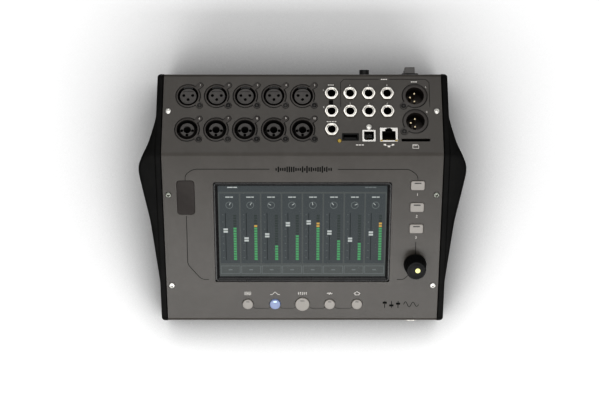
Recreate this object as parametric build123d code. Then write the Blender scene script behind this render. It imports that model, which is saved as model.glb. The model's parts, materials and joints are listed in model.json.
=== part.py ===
from build123d import *
import os
from math import atan, cos, radians, sin, tan

os.makedirs("parts", exist_ok=True)

# A compact mixing desk with a touch screen on its front slope and sockets on its rear slope.
# Millimetres.  X runs to the operator's right, Y to the rear, Z up; the feet stand at Z = 0.

# ---------------------------------------------------------------- case
PANEL_W = 250.8          # width of the bent top panel
FRONT_LEN = 163.1        # front slope, crest to front edge
REAR_LEN = 76.6          # rear slope, crest to rear edge
FRONT_TILT = radians(20.2)
REAR_TILT = radians(17.5)
CREST_Z = 90.0           # height of the crest line
SHEET_T = 1.6            # steel sheet of panel and pan
CREST_BEND = 6.0
EDGE_BEND = 3.2
REAR_LIP = 8.0           # short turned-down lip of the panel at the rear
PHONES_PROUD = 1.5       # headphone nut in front of the case
ROCKER_PROUD = 8.0       # power rocker behind the case
PAN_GAP = 0.2            # air between panel and pan
FOOT_R = 8.0
FOOT_H = 4.0
FOOT_INSET = 20.0

# ---------------------------------------------------------------- moulded side cheeks
CHEEK_GAP = 0.2          # air between panel edge and cheek
CHEEK_T = 5.4
CHEEK_PROUD = 1.4        # rail above the panel
CHEEK_OVER = 0.3         # rail beyond the case ends
RAIL_EDGE = 1.2          # rounding of the rail
RAIL_CORNER = 3.0        # plan rounding at the four corners
LEDGE_W = 8.6            # inner ledge that takes the screws
LEDGE_T = 6.0
WING_REACH = 17.2        # greatest swell of the wing, before rounding
WING_DROP = 1.2          # wing surface below the rail
WING_TIP_T = 7.0
WING_SCOOP_R = 26.0      # hollow under the wing
WING_ROOT = (68.5, 26.0, -22.0, -78.0)
WING_ROUNDS = (30.0, 40.0, 150.0, 60.0)

# ---------------------------------------------------------------- sockets on the rear slope
SOCKET_AIR = 1.75        # between the flanges of neighbouring sockets
SOCKET_EDGE = 22.5       # first microphone socket from the panel edge
MIC_S = 55.3             # distance down the slope from the crest
COMBO_S = 23.1
RING_R = 10.8
RING_GAP = 0.6
RING_PROUD = 0.5
CUP_R = 9.5
CUP_DEPTH = 14.0
INSERT_R = 7.65
INSERT_SINK = 0.6
FLANGE_RIM = 1.2         # flange beyond the ring on each side
FLANGE_T = 2.0
MIC_DEPTH = 22.0
COMBO_DEPTH = 28.0
LATCH_W = 8.3
LATCH_GAP = 0.1
LATCH_TRAVEL = 1.5
OUT_EDGE = 24.4          # main outputs from the right panel edge
OUT_S = (55.4, 30.9)
OUT_RING_R = 11.0
OUT_CUP_R = 8.1
OUT_DEPTH = 18.0
PIN_R = 1.2
PIN_GAP = 0.05

# ---------------------------------------------------------------- quarter-inch jacks
JACK_R = 3.25            # bore for the plug
JACK_PITCH = 16.7
JACK_S = (57.5, 40.3, 22.9)
LINE_X = 42.8            # first of three output columns
JACK_W = 12.5
JACK_H = 14.0
JACK_DEPTH = 26.0
BUSH_R = 4.4
BUSH_GAP = 0.2
BUSH_PROUD = 1.6
NUT_AF = 11.4
NUT_T = 2.2
PHONES_X = 102.0
PHONES_Z = 19.0
PHONES_H = 12.0

# ---------------------------------------------------------------- data sockets
USB_HOST_AT = (42.7, 16.1)
USB_DEVICE_AT = (59.3, 17.3)
NETWORK_AT = (77.0, 18.3)
CARD_AT = (100.9, 13.1)
LED_AT = (32.9, 12.4)
LED_R = 1.7
DATA_DEPTH = 18.0        # sockets on the small data board
DATA_TOP = -0.1          # their faces just under the panel surface
CUT_GAP = 0.25           # air round each socket in the panel

# ---------------------------------------------------------------- display
SCREEN_W = 160.2         # opening in the panel
SCREEN_H = 97.2
SCREEN_S = 75.4          # centre of the opening
SCREEN_GAP = 0.2
ACTIVE_W = 152.8
ACTIVE_H = 91.0
ACTIVE_S = 73.9
BEZEL_FLANGE = 3.9
GLASS_UNDER = 0.15       # glass below the sheet's inner face
GLASS_T = 1.1
GLASS_GAP = 0.2
BRACKET_LIFT = -6.6
BRACKET_T = 1.2

# ---------------------------------------------------------------- keys and knob
RIGHT_COL = 22.2         # key column from the right panel edge
KEY_W = 12.4
KEY_H = 8.7
KEY_S = (29.6, 50.4, 71.1)
KEY_GAP = 0.2
KEY_PROUD = 1.2
BUTTON_PITCH = 25.3
BUTTON_S = 146.4
BUTTON_R = 4.95
HOME_R = 6.7
BUTTON_PROUD = 1.6
PRESS = 0.8              # travel of keys and buttons
CAP_FLANGE = 0.8
STEM_R = 1.6
SWITCH_TOP = -4.6
BOARD_LIFT = -8.0        # upper face of the control board
BOARD_T = 1.6
KNOB_S = 106.5
KNOB_BASE_R = 10.3
KNOB_TOP_R = 8.7
KNOB_LOW = 0.6
KNOB_HIGH = 15.0
SHAFT_R = 3.0
SHAFT_GAP = 0.05
CAP_R = 2.4
COVER_W = 15.6
COVER_H = 32.1
COVER_EDGE = 20.6        # aerial cover from the left panel edge
COVER_S = 41.35

# ---------------------------------------------------------------- screws
SCREW_INSET = 5.0        # panel screws from the panel edge
SCREW_R = 1.4
SCREW_GAP = 0.15
HEAD_R = 2.65
HEAD_T = 1.3
SMALL_HEAD_R = 2.2
SMALL_HEAD_T = 0.9
SMALL_R = 1.2
FRONT_SCREW_S = (38.6, 127.5)
REAR_SCREW_S = 40.6

# ---------------------------------------------------------------- rear wall fittings
ROCKER_EDGE = 26.9       # power rocker from the right panel edge
ROCKER_DROP = 20.966     # rocker and inlet below the rear edge
ROCKER_W = 9.0
ROCKER_H = 16.0
ROCKER_LEAN = 10.0       # lean to either side of upright
ROCKER_DISH = 1.3        # hollow between its two faces
ROCKER_TIP_R = 0.9
ROCKER_FRAME = (15.0, 21.0)
ROCKER_BODY = (13.0, 19.0, 11.0)
AXLE_R = 1.5
AXLE_GAP = 0.05
INLET_X = 57.0
INLET_R = 4.4
INLET_PROUD = 5.8

# ---------------------------------------------------------------- inside
MAIN_BOARD = (210.0, 150.0)
MAIN_BOARD_Z = 14.0
CABLE_W = 20.0
CABLE_T = 0.3

# ---------------------------------------------------------------- sizes that follow
FRONT_RUN = FRONT_LEN * cos(FRONT_TILT)
REAR_RUN = REAR_LEN * cos(REAR_TILT)
DEPTH = PHONES_PROUD + FRONT_RUN + REAR_RUN + ROCKER_PROUD
Y_FRONT = PHONES_PROUD - DEPTH / 2
Y_CREST = Y_FRONT + FRONT_RUN
Y_REAR = Y_CREST + REAR_RUN
REAR_Z = CREST_Z - REAR_LEN * sin(REAR_TILT)
LIP_Z = REAR_Z - REAR_LIP
WALL_IN = PANEL_W / 2 + CHEEK_GAP
WALL_OUT = WALL_IN + CHEEK_T
ROCKER_Z = REAR_Z - ROCKER_DROP
UNDER = -SHEET_T         # inner face of the panel, measured along its normal
GLASS_SINK = SHEET_T + GLASS_UNDER
FLANGE = 2 * (RING_R + FLANGE_RIM)
SOCKET_PITCH = FLANGE + SOCKET_AIR
SOCKET_X = [SOCKET_EDGE - PANEL_W / 2 + SOCKET_PITCH * i for i in range(5)]
OUT_X = PANEL_W / 2 - OUT_EDGE
RIGHT_X = PANEL_W / 2 - RIGHT_COL
COVER_X = COVER_EDGE - PANEL_W / 2
SCREW_X = PANEL_W / 2 - SCREW_INSET
ROCKER_X = PANEL_W / 2 - ROCKER_EDGE
STEREO_X = LINE_X - JACK_PITCH
BUTTON_X = [BUTTON_PITCH * i for i in range(-2, 3)]
MIC_SCREW = (RING_R - 0.3, 1.6 - RING_R)
OUT_SCREW = (-10.2, -9.8)
LINE_JACKS = [(STEREO_X, s) for s in JACK_S]
LINE_JACKS += [(LINE_X + JACK_PITCH * i, s) for i in range(3) for s in JACK_S[:2]]

FRONT = Plane((0, Y_CREST, CREST_Z), (1, 0, 0), (0, -sin(FRONT_TILT), cos(FRONT_TILT)))
REAR = Plane((0, Y_CREST, CREST_Z), (1, 0, 0), (0, sin(REAR_TILT), cos(REAR_TILT)))
PHONES = Plane((PHONES_X, Y_FRONT, PHONES_Z), (1, 0, 0), (0, -1, 0))
INLET = Plane((INLET_X, Y_REAR, ROCKER_Z), (-1, 0, 0), (0, 1, 0))
ROCKER = Plane((ROCKER_X, Y_REAR, ROCKER_Z), (-1, 0, 0), (0, 1, 0))
STAND = (Align.CENTER, Align.CENTER, Align.MIN)


# ---------------------------------------------------------------- helpers
def front(x, s, lift=0.0):
    """Place on the front slope, s down from the crest, Z along its normal."""
    return FRONT.location * Pos(x, -s, lift)


def rear(x, s, lift=0.0):
    """Place on the rear slope, s down from the crest, Z along its normal."""
    return REAR.location * Pos(x, s, lift)


def rod(radius, low, high, x=0.0, y=0.0):
    return Pos(x, y, low) * Cylinder(radius, high - low, align=STAND)


def taper(low_r, high_r, low, high):
    return Pos(0, 0, low) * Cone(low_r, high_r, high - low, align=STAND)


def tube(outer, inner, low, high):
    return rod(outer, low, high) - rod(inner, low - 1, high + 1)


def block(width, height, low, high, x=0.0, y=0.0, corner=0.0):
    outline = RectangleRounded(width, height, corner) if corner else Rectangle(width, height)
    return Pos(x, y, low) * extrude(outline, high - low)


def hexagon(across, low, high):
    return Pos(0, 0, low) * extrude(RegularPolygon(across / 2, 6, major_radius=False), high - low)


def top_edges(solid):
    """Edges of the highest flat face of a piece still standing on its local Z."""
    return solid.faces().sort_by(Axis.Z)[-1].outer_wire().edges()


def outline_face(corners, rounds):
    """Closed face through corners, each rounded by its own radius."""
    points = [Vector(*corner) for corner in corners]
    count = len(points)
    starts, middles, ends = [], [], []
    for i, point in enumerate(points):
        back = (points[i - 1] - point).normalized()
        ahead = (points[(i + 1) % count] - point).normalized()
        half = radians(back.get_angle(ahead) / 2)
        reach = rounds[i] / tan(half)
        inward = (back + ahead).normalized()
        starts.append(point + back * reach)
        middles.append(point + inward * (rounds[i] / sin(half) - rounds[i]))
        ends.append(point + ahead * reach)
    edges = []
    for i in range(count):
        if rounds[i] > 0:
            edges.append(Edge.make_three_point_arc(starts[i], middles[i], ends[i]))
        following = starts[(i + 1) % count]
        if (following - ends[i]).length > 1e-6:
            edges.append(Edge.make_line(ends[i], following))
    return Face(Wire(edges))


def side_corners(lift, ends, floor):
    """Side outline moved out by lift from both slopes and by ends at front and rear."""
    rise, fall = tan(FRONT_TILT), tan(REAR_TILT)
    shift = lift * (1 / cos(REAR_TILT) - 1 / cos(FRONT_TILT)) / (rise + fall)
    crest_y = Y_CREST + shift
    crest_z = CREST_Z + shift * rise + lift / cos(FRONT_TILT)
    front_y, rear_y = Y_FRONT - ends, Y_REAR + ends
    front_z = crest_z - (crest_y - front_y) * rise
    rear_z = crest_z - (rear_y - crest_y) * fall
    return [(front_y, floor), (front_y, front_z), (crest_y, crest_z), (rear_y, rear_z), (rear_y, floor)]


def across(face, low, high):
    """Side outline turned upright and drawn out along X from low to high."""
    return Pos(low, 0, 0) * extrude(Plane.YZ * face, high - low, dir=(1, 0, 0))


def gather(pieces):
    """Separate solids of one node, kept apart."""
    return Compound(children=[solid for piece in pieces for solid in piece.solids()])


def save(node, shape):
    shape.label = node
    export_step(shape, "parts/" + node + ".step")


# ---------------------------------------------------------------- case
def panel_cutouts():
    """Every opening in the two slopes and the front wall."""
    cuts = []
    for x in SOCKET_X:
        for s in (MIC_S, COMBO_S):
            cuts.append(rear(x, s) * rod(RING_R + RING_GAP, -5, 5))
            cuts.append(rear(x + MIC_SCREW[0], s + MIC_SCREW[1]) * rod(SMALL_R + SCREW_GAP, -5, 5))
    for s in OUT_S:
        cuts.append(rear(OUT_X, s) * rod(OUT_RING_R + RING_GAP, -5, 5))
        cuts.append(rear(OUT_X + OUT_SCREW[0], s + OUT_SCREW[1]) * rod(SMALL_R + SCREW_GAP, -5, 5))
    for x, s in LINE_JACKS:
        cuts.append(rear(x, s) * rod(BUSH_R + BUSH_GAP, -5, 5))
    cuts.append(rear(*USB_HOST_AT) * block(14.4 + 2 * CUT_GAP, 6.6 + 2 * CUT_GAP, -5, 5, corner=0.6))
    cuts.append(rear(*USB_DEVICE_AT) * block(12.0 + 2 * CUT_GAP, 11.2 + 2 * CUT_GAP, -5, 5, corner=0.6))
    cuts.append(rear(*NETWORK_AT) * block(16.2 + 2 * CUT_GAP, 13.4 + 2 * CUT_GAP, -5, 5, corner=0.4))
    cuts.append(rear(*CARD_AT) * block(25.6, 2.6, -5, 5, corner=0.5))
    cuts.append(rear(*LED_AT) * rod(LED_R + 0.15, -5, 5))
    cuts.append(rear(USB_DEVICE_AT[0], USB_DEVICE_AT[1] + 8.1) * rod(SCREW_R + SCREW_GAP, -5, 5))
    for side in (-1, 1):
        cuts.append(rear(side * SCREW_X, REAR_SCREW_S) * rod(SCREW_R + SCREW_GAP, -5, 5))
        for s in FRONT_SCREW_S:
            cuts.append(front(side * SCREW_X, s) * rod(SCREW_R + SCREW_GAP, -5, 5))
    cuts.append(front(0, SCREEN_S) * block(SCREEN_W, SCREEN_H, -5, 5, corner=1.2))
    cuts.append(front(COVER_X, COVER_S) * block(COVER_W + 0.4, COVER_H + 0.4, -5, 5, corner=3.2))
    for s in KEY_S:
        cuts.append(front(RIGHT_X, s) * block(KEY_W + 2 * KEY_GAP, KEY_H + 2 * KEY_GAP, -5, 5, corner=1.7))
    for i, x in enumerate(BUTTON_X):
        cuts.append(front(x, BUTTON_S) * rod((HOME_R if i == 2 else BUTTON_R) + 0.25, -5, 5))
    cuts.append(front(RIGHT_X, KNOB_S) * rod(3.7, -5, 5))
    cuts.append(PHONES.location * rod(BUSH_R + BUSH_GAP, -3, 3))
    return cuts


def make_top_panel():
    outer = side_corners(0, 0, FOOT_H)
    inner = side_corners(-SHEET_T, -SHEET_T, FOOT_H)
    lip = [(Y_REAR, LIP_Z), (Y_REAR - SHEET_T, LIP_Z)]
    corners = outer[:4] + lip + inner[3::-1]
    bend, crest = EDGE_BEND - SHEET_T, CREST_BEND - SHEET_T
    rounds = [0, EDGE_BEND, CREST_BEND, EDGE_BEND, 0, 0, bend, crest, bend, 0]
    sheet = across(outline_face(corners, rounds), -PANEL_W / 2, PANEL_W / 2)
    return sheet - panel_cutouts()


def make_base_pan():
    """Folded pan: front lip, floor and rear wall, set back behind the panel's rear lip."""
    lip_y = Y_FRONT + SHEET_T + PAN_GAP
    step_y = Y_REAR - SHEET_T - PAN_GAP
    lip_top, wall_top, step_top = FOOT_H + 7.0, LIP_Z - 2.2, LIP_Z + 5.4
    t = SHEET_T
    outer = [(lip_y, lip_top), (lip_y, FOOT_H), (Y_REAR, FOOT_H), (Y_REAR, wall_top)]
    outer += [(step_y, wall_top + 1.8), (step_y, step_top)]
    inner = [(step_y - t, step_top), (step_y - t, wall_top + 1.2), (Y_REAR - t, wall_top - 0.6)]
    inner += [(Y_REAR - t, FOOT_H + t), (lip_y + t, FOOT_H + t), (lip_y + t, lip_top)]
    rounds = [0, 2.2, 2.8, 0.4, 0.4, 0, 0, 0.4, 0.4, 1.2, 0.6, 0]
    half = PANEL_W / 2
    pan = across(outline_face(outer + inner, rounds), -half, half)
    cuts = [ROCKER.location * block(ROCKER_BODY[0] + 0.4, ROCKER_BODY[1] + 0.4, -3, 3)]
    cuts.append(INLET.location * rod(INLET_R + 0.3, -3, 3))
    for x, y in case_screw_places():
        cuts.append(rod(SCREW_R + SCREW_GAP, FOOT_H - 2, FOOT_H + 4, x, y))
    for side in (-1, 1):
        for i in range(9):
            cuts.append(block(38, 2.6, FOOT_H - 2, FOOT_H + 4, side * 55, 7.0 * (i - 4) - 10, 1.25))
    vent = Plane((0, Y_REAR, 0), (-1, 0, 0), (0, 1, 0))
    for i in range(12):
        cuts.append(vent.location * block(2.6, 20, -3, 3, 88 - 7.5 * i, 28, 1.25))
    return pan - cuts


def case_screw_places():
    x = WALL_IN - LEDGE_W / 2
    return [(side * x, y) for side in (-1, 1) for y in (Y_FRONT + 34, 0.0, Y_REAR - 34)]


def wing_plan():
    """Plan outline of the wing, from inside the wall out to its rounded swell."""
    a, b, c, d = WING_ROOT
    inside = WALL_OUT - CHEEK_T / 2
    corners = [(inside, a + 16), (WALL_OUT, a + 16), (WALL_OUT, a), (WALL_OUT + WING_REACH, b)]
    corners += [(WALL_OUT + 0.41 * WING_REACH, c), (WALL_OUT, d), (WALL_OUT, d - 17), (inside, d - 17)]
    return outline_face(corners, [0, 0] + list(WING_ROUNDS) + [0, 0])


def make_wing():
    lift = CHEEK_PROUD - WING_DROP
    deep = WING_TIP_T + 20.0
    upper = side_corners(lift, 20, 0)[1:4]
    lower = side_corners(-deep, 20, 0)[1:4]
    band = across(outline_face(upper + lower[::-1], [0, 8, 0, 0, 0, 0]), 110, 170)
    wing = extrude(wing_plan(), 130, dir=(0, 0, 1)) & band
    low = -WING_TIP_T - WING_SCOOP_R
    reach = WALL_OUT + WING_SCOOP_R - 2
    for plane, way in ((FRONT, -1), (REAR, 1)):
        bar = plane.location * Pos(reach, way * 90, low) * Rot(90, 0, 0) * Cylinder(WING_SCOOP_R, 260)
        side = Pos(reach, Y_CREST + way * 150, 60) * Box(120, 300, 160)
        wing = wing - (bar & side)
    return wing


def make_right_cheek():
    top = side_corners(CHEEK_PROUD, CHEEK_OVER, FOOT_H)
    wall = across(outline_face(top, [0, 4.0, 8.0, 4.0, 0]), WALL_IN, WALL_OUT)
    outer = wall.faces().sort_by(Axis.X)[-1].edges().sort_by(Axis.Z)[1:]
    wall = fillet(outer, RAIL_EDGE)
    over = -(UNDER - CHEEK_GAP)
    end = SHEET_T + PAN_GAP + SHEET_T + CHEEK_GAP
    floor = FOOT_H + SHEET_T + CHEEK_GAP
    ring_out = side_corners(-over, -end, floor)
    ring_in = side_corners(-over - LEDGE_T, -end - LEDGE_T, floor + LEDGE_T)
    crest = CREST_BEND - SHEET_T - CHEEK_GAP
    ledge = across(outline_face(ring_out, [1, 1.2, crest, 1.2, 1]), WALL_IN - LEDGE_W, WALL_IN + 1)
    ledge -= across(outline_face(ring_in, [2, 2, 2, 2, 2]), WALL_IN - LEDGE_W - 1, WALL_IN)
    cheek = wall + ledge + make_wing()
    cuts = [rear(SCREW_X, REAR_SCREW_S) * rod(SCREW_R + 0.05, -9, -1)]
    for s in FRONT_SCREW_S:
        cuts.append(front(SCREW_X, s) * rod(SCREW_R + 0.05, -9, -1))
    for x, y in case_screw_places():
        if x > 0:
            cuts.append(rod(SCREW_R + 0.05, FOOT_H, FOOT_H + 7.6, x, y))
    cuts.append(side_cap_place(1) * rod(2.55, -3.2, 1))
    return cheek - cuts


def side_cap_place(side):
    return Plane((side * WALL_OUT, Y_REAR - 26.3, 40), (0, side, 0), (side, 0, 0)).location


def make_rubber_feet():
    foot = rod(FOOT_R, 0, FOOT_H) - rod(2.4, -1, FOOT_H - 1.6)
    foot = fillet(foot.edges().group_by(Axis.Z)[0].sort_by(SortBy.RADIUS)[-1], 0.8)
    x = PANEL_W / 2 - FOOT_INSET
    spots = [(sx * x, y) for sx in (-1, 1) for y in (Y_FRONT + FOOT_INSET, Y_REAR - FOOT_INSET)]
    return gather([Pos(x, y, 0) * foot for x, y in spots])


# ---------------------------------------------------------------- screws
def pan_screw(head_r, head_t, shank_r, length):
    head = fillet(top_edges(rod(head_r, 0, head_t)), head_t * 0.55)
    slot = block(head_r * 1.0, head_r * 0.3, head_t * 0.35, head_t + 1)
    slot += block(head_r * 0.3, head_r * 1.0, head_t * 0.35, head_t + 1)
    return head + rod(shank_r, -length, 0.2) - slot


def make_panel_screws():
    screw = pan_screw(HEAD_R, HEAD_T, SCREW_R, 7.0)
    pieces = []
    for side in (-1, 1):
        pieces.append(rear(side * SCREW_X, REAR_SCREW_S) * screw)
        pieces += [front(side * SCREW_X, s) * screw for s in FRONT_SCREW_S]
    pieces.append(rear(USB_DEVICE_AT[0], USB_DEVICE_AT[1] + 8.1) * pan_screw(HEAD_R, HEAD_T, SCREW_R, 4.0))
    return gather(pieces)


def make_black_screws():
    """Socket screws, floor screws and the two round caps on the cheeks."""
    small = pan_screw(SMALL_HEAD_R, SMALL_HEAD_T, SMALL_R, 5.0)
    places = [(x + MIC_SCREW[0], s + MIC_SCREW[1]) for x in SOCKET_X for s in (MIC_S, COMBO_S)]
    places += [(OUT_X + OUT_SCREW[0], s + OUT_SCREW[1]) for s in OUT_S]
    pieces = [rear(x, s) * small for x, s in places]
    screw = Pos(0, 0, FOOT_H) * Rot(180, 0, 0) * pan_screw(HEAD_R, HEAD_T, SCREW_R, 6.5)
    pieces += [Pos(x, y, 0) * screw for x, y in case_screw_places()]
    cap = fillet(top_edges(rod(5.0, 0, 1.2)), 0.5) + rod(2.5, -3, 0.1)
    pieces += [side_cap_place(side) * cap for side in (-1, 1)]
    return gather(pieces)


# ---------------------------------------------------------------- microphone and combination sockets
def socket_shell(depth, body_w):
    """Ring through the panel, flange under it, body behind and an annular cup."""
    ring = fillet(top_edges(rod(RING_R, -depth + 1, RING_PROUD)), 0.35)
    flange = block(FLANGE, FLANGE, UNDER - FLANGE_T, UNDER, corner=1.5)
    body = block(body_w, FLANGE, -depth, UNDER - FLANGE_T, corner=1.0)
    cup = rod(CUP_R, -CUP_DEPTH, RING_PROUD + 1)
    screw = rod(SMALL_R + 0.05, -7, 1, MIC_SCREW[0], MIC_SCREW[1])
    return ring + flange + body - cup - screw


def make_mic_socket(x):
    insert = fillet(top_edges(rod(INSERT_R, -CUP_DEPTH - 1, -INSERT_SINK)), 0.4)
    socket = socket_shell(MIC_DEPTH, FLANGE - 2) + insert
    holes = [rod(PIN_R + 0.05, -CUP_DEPTH + 1, 0, px, py) for px, py in ((-4, 0.8), (4, 0.8), (0, -3.1))]
    return rear(x, MIC_S) * (socket - holes - block(8.9, 0.5, -1.0, 0, 0, 4.6))


def make_mic_latch(x):
    """Crescent thumb piece in the cup, on the side away from the crest."""
    piece = tube(CUP_R - LATCH_GAP, INSERT_R + LATCH_GAP, -6.0, 0.2)
    piece &= block(LATCH_W, 4, -7, 1, 0, CUP_R - 1.2)
    return rear(x, MIC_S) * piece


def make_combo_socket(x):
    insert = taper(INSERT_R, INSERT_R - 1.4, -4.6, -INSERT_SINK) + rod(INSERT_R, -CUP_DEPTH - 1, -4.6)
    socket = socket_shell(COMBO_DEPTH, FLANGE - 2) + insert
    holes = [rod(1.25, -CUP_DEPTH + 1, 0, px, py) for px, py in ((-4.85, -0.9), (4.85, -0.9), (0, -4.95))]
    return rear(x, COMBO_S) * (socket - holes - rod(JACK_R, -COMBO_DEPTH + 2, 1))


def make_main_out_sockets():
    pieces = []
    for s in OUT_S:
        shell = fillet(top_edges(rod(OUT_RING_R, -OUT_DEPTH + 1, RING_PROUD)), 0.4)
        shell += block(FLANGE, FLANGE, UNDER - FLANGE_T, UNDER, corner=1.5)
        shell += block(FLANGE, FLANGE - 1, -OUT_DEPTH, UNDER - FLANGE_T, corner=1.0)
        shell -= rod(OUT_CUP_R, -CUP_DEPTH, 2)
        shell -= block(2.4, 2.2, -10, 2, 0, -OUT_CUP_R - 0.4)
        shell -= rod(SMALL_R + 0.05, -7, 1, OUT_SCREW[0], OUT_SCREW[1])
        shell -= [rod(PIN_R + PIN_GAP, -OUT_DEPTH - 1, 0, px, py) for px, py in out_pins()]
        pieces.append(rear(OUT_X, s) * shell)
    return gather(pieces)


def out_pins():
    return [(0, -3.8), (-3.8, 0), (0, 3.8)]


def make_main_out_pins():
    pin = fillet(top_edges(rod(PIN_R, -OUT_DEPTH - 1.0, -3.5)), 0.7)
    return gather([rear(OUT_X, s) * Pos(px, py, 0) * pin for s in OUT_S for px, py in out_pins()])


# ---------------------------------------------------------------- jacks and nuts
def jack(height, depth, proud):
    body = block(JACK_W, height, -depth, UNDER, corner=0.8)
    return body + rod(BUSH_R, UNDER - 0.1, proud) - rod(JACK_R, 2 - depth, proud + 1)


def jack_nut(thick, proud):
    nut = hexagon(NUT_AF, 0, thick) & taper(NUT_AF * 0.72, NUT_AF * 0.51, 0, thick + 0.5)
    return nut - rod(BUSH_R + 0.1, -1, proud + 0.05) - rod(JACK_R + 0.4, -1, thick + 1)


def make_line_jacks():
    return gather([rear(x, s) * jack(JACK_H, JACK_DEPTH, BUSH_PROUD) for x, s in LINE_JACKS])


def make_phones_jack():
    return PHONES.location * jack(PHONES_H, JACK_DEPTH, PHONES_PROUD)


def make_phones_nut():
    """Hexagon nut level with the face of its bushing."""
    nut = hexagon(NUT_AF, 0, PHONES_PROUD) & taper(NUT_AF * 0.72, NUT_AF * 0.51, 0, PHONES_PROUD + 0.5)
    return PHONES.location * (nut - rod(BUSH_R + 0.1, -1, PHONES_PROUD + 1))


def make_panel_nuts():
    pieces = [rear(x, s) * jack_nut(NUT_T, BUSH_PROUD) for x, s in LINE_JACKS]
    knob_nut = hexagon(10.0, 0, 2.0) - rod(3.55, -1, 3)
    pieces.append(front(RIGHT_X, KNOB_S) * knob_nut)
    return gather(pieces)


# ---------------------------------------------------------------- data sockets
def make_usb_host_socket():
    shell = block(14.4, 6.6, -DATA_DEPTH, DATA_TOP, corner=0.5) - block(12.6, 5.0, -12, 1, corner=0.3)
    return rear(*USB_HOST_AT) * (shell + block(11.0, 1.9, -12.5, -1.2, 0, -0.9))


def make_usb_device_socket():
    shell = block(12.0, 11.2, -DATA_DEPTH, DATA_TOP, corner=0.5)
    hollow = block(8.6, 7.9, -12, 1) - block(1.6, 1.6, -12, 1, 4.3, -3.95) - block(1.6, 1.6, -12, 1, -4.3, -3.95)
    tab = block(12.0, 17.0, UNDER - 1.4, UNDER, 0, 2.9, 0.8) - rod(SCREW_R + 0.05, -4, 0, 0, 8.1)
    return rear(*USB_DEVICE_AT) * (shell + tab - hollow + block(5.6, 3.2, -12.5, -1.5))


def make_network_socket():
    shell = block(16.2, 13.4, -DATA_DEPTH, DATA_TOP, corner=0.4)
    shell -= block(11.8, 8.6, -13, 1, 0, -1.0)
    shell -= block(6.2, 2.6, -13, 1, 0, 4.0)
    shell -= block(3.6, 1.6, -13, 1, 0, 5.4)
    contacts = [block(0.5, 1.6, -12.5, -4, 1.02 * (i - 3.5), -4.6) for i in range(8)]
    return rear(*NETWORK_AT) * (shell + contacts)


def make_card_slot():
    body = block(28.0, 3.8, -27.0, UNDER, corner=0.4) - block(24.2, 2.3, -25, 1)
    return rear(*CARD_AT) * body


def make_status_led():
    lamp = fillet(top_edges(rod(LED_R, -6.0, 0.9)), 0.7)
    return rear(*LED_AT) * (lamp + rod(LED_R + 0.5, -6.0, UNDER))


# ---------------------------------------------------------------- display
def make_screen_bezel():
    wide, high = SCREEN_W - 2 * SCREEN_GAP, SCREEN_H - 2 * SCREEN_GAP
    glass_w, glass_h = wide - 1.4, high - 1.4
    rim_low = -GLASS_SINK + 0.05
    rim = block(wide, high, rim_low, 0, corner=1.0)
    flange = block(wide + 2 * BEZEL_FLANGE, high + 2 * BEZEL_FLANGE, UNDER - 1.7, rim_low, corner=2)
    skirt = block(wide + 2.2, high + 2.2, BRACKET_LIFT, UNDER - 1.7)
    well = block(glass_w, glass_h, BRACKET_LIFT - 1, rim_low)
    window = block(ACTIVE_W, ACTIVE_H, -5, 1, 0, SCREEN_S - ACTIVE_S, 0.6)
    return front(0, SCREEN_S) * (rim + flange + skirt - well - window)


def glass_size():
    margin = 2 * SCREEN_GAP + 1.4 + 2 * GLASS_GAP
    return SCREEN_W - margin, SCREEN_H - margin


def make_touch_glass():
    wide, high = glass_size()
    return front(0, SCREEN_S) * block(wide, high, -GLASS_SINK - GLASS_T, -GLASS_SINK)


def make_lcd_panel():
    wide, high = glass_size()
    return front(0, SCREEN_S) * block(wide - 1.6, high - 1.0, BRACKET_LIFT, -GLASS_SINK - GLASS_T)


def make_lcd_bracket():
    wide = SCREEN_W + 2 * BEZEL_FLANGE
    high = SCREEN_H + 2 * BEZEL_FLANGE
    plate = block(wide, high, BRACKET_LIFT - BRACKET_T, BRACKET_LIFT, corner=2)
    plate -= block(CABLE_W + 4, 5, -20, 0, 0, SCREEN_S - 60)
    return front(0, SCREEN_S) * plate


def make_antenna_cover():
    cover = block(COVER_W, COVER_H, UNDER - 1.4, 0.3, corner=3.0)
    cover = fillet(top_edges(cover), 0.25)
    flange = block(COVER_W + 3.4, COVER_H + 3.4, UNDER - 1.4, UNDER - 0.1, corner=2)
    return front(COVER_X, COVER_S) * (cover + flange)


# ---------------------------------------------------------------- keys, buttons, knob
def make_soft_key(s):
    cap = block(KEY_W, KEY_H, UNDER - 1.4, KEY_PROUD, corner=1.5)
    cap = fillet(top_edges(cap), 0.5) - block(6.0, 1.0, KEY_PROUD - 0.3, KEY_PROUD + 1, 0, 2.4, 0.4)
    flange = block(KEY_W + 2 * CAP_FLANGE, KEY_H + 2 * CAP_FLANGE, UNDER - 1.4, UNDER - 0.3, corner=1.0)
    return front(RIGHT_X, s) * (cap + flange + rod(STEM_R, SWITCH_TOP - 0.6, UNDER - 1.3))


def make_button(x, radius):
    cap = fillet(top_edges(rod(radius, UNDER - 1.4, BUTTON_PROUD)), 0.9)
    flange = rod(radius + 0.25 + CAP_FLANGE, UNDER - 1.4, UNDER - 0.3)
    return front(x, BUTTON_S) * (cap + flange + rod(STEM_R, SWITCH_TOP - 0.6, UNDER - 1.3))


def make_tact_switches():
    switch = block(6.0, 6.0, BOARD_LIFT, SWITCH_TOP, corner=0.5) - rod(STEM_R + 0.15, SWITCH_TOP - 2.2, 0)
    places = [(RIGHT_X, s) for s in KEY_S] + [(x, BUTTON_S) for x in BUTTON_X]
    return gather([front(x, s) * switch for x, s in places])


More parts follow.
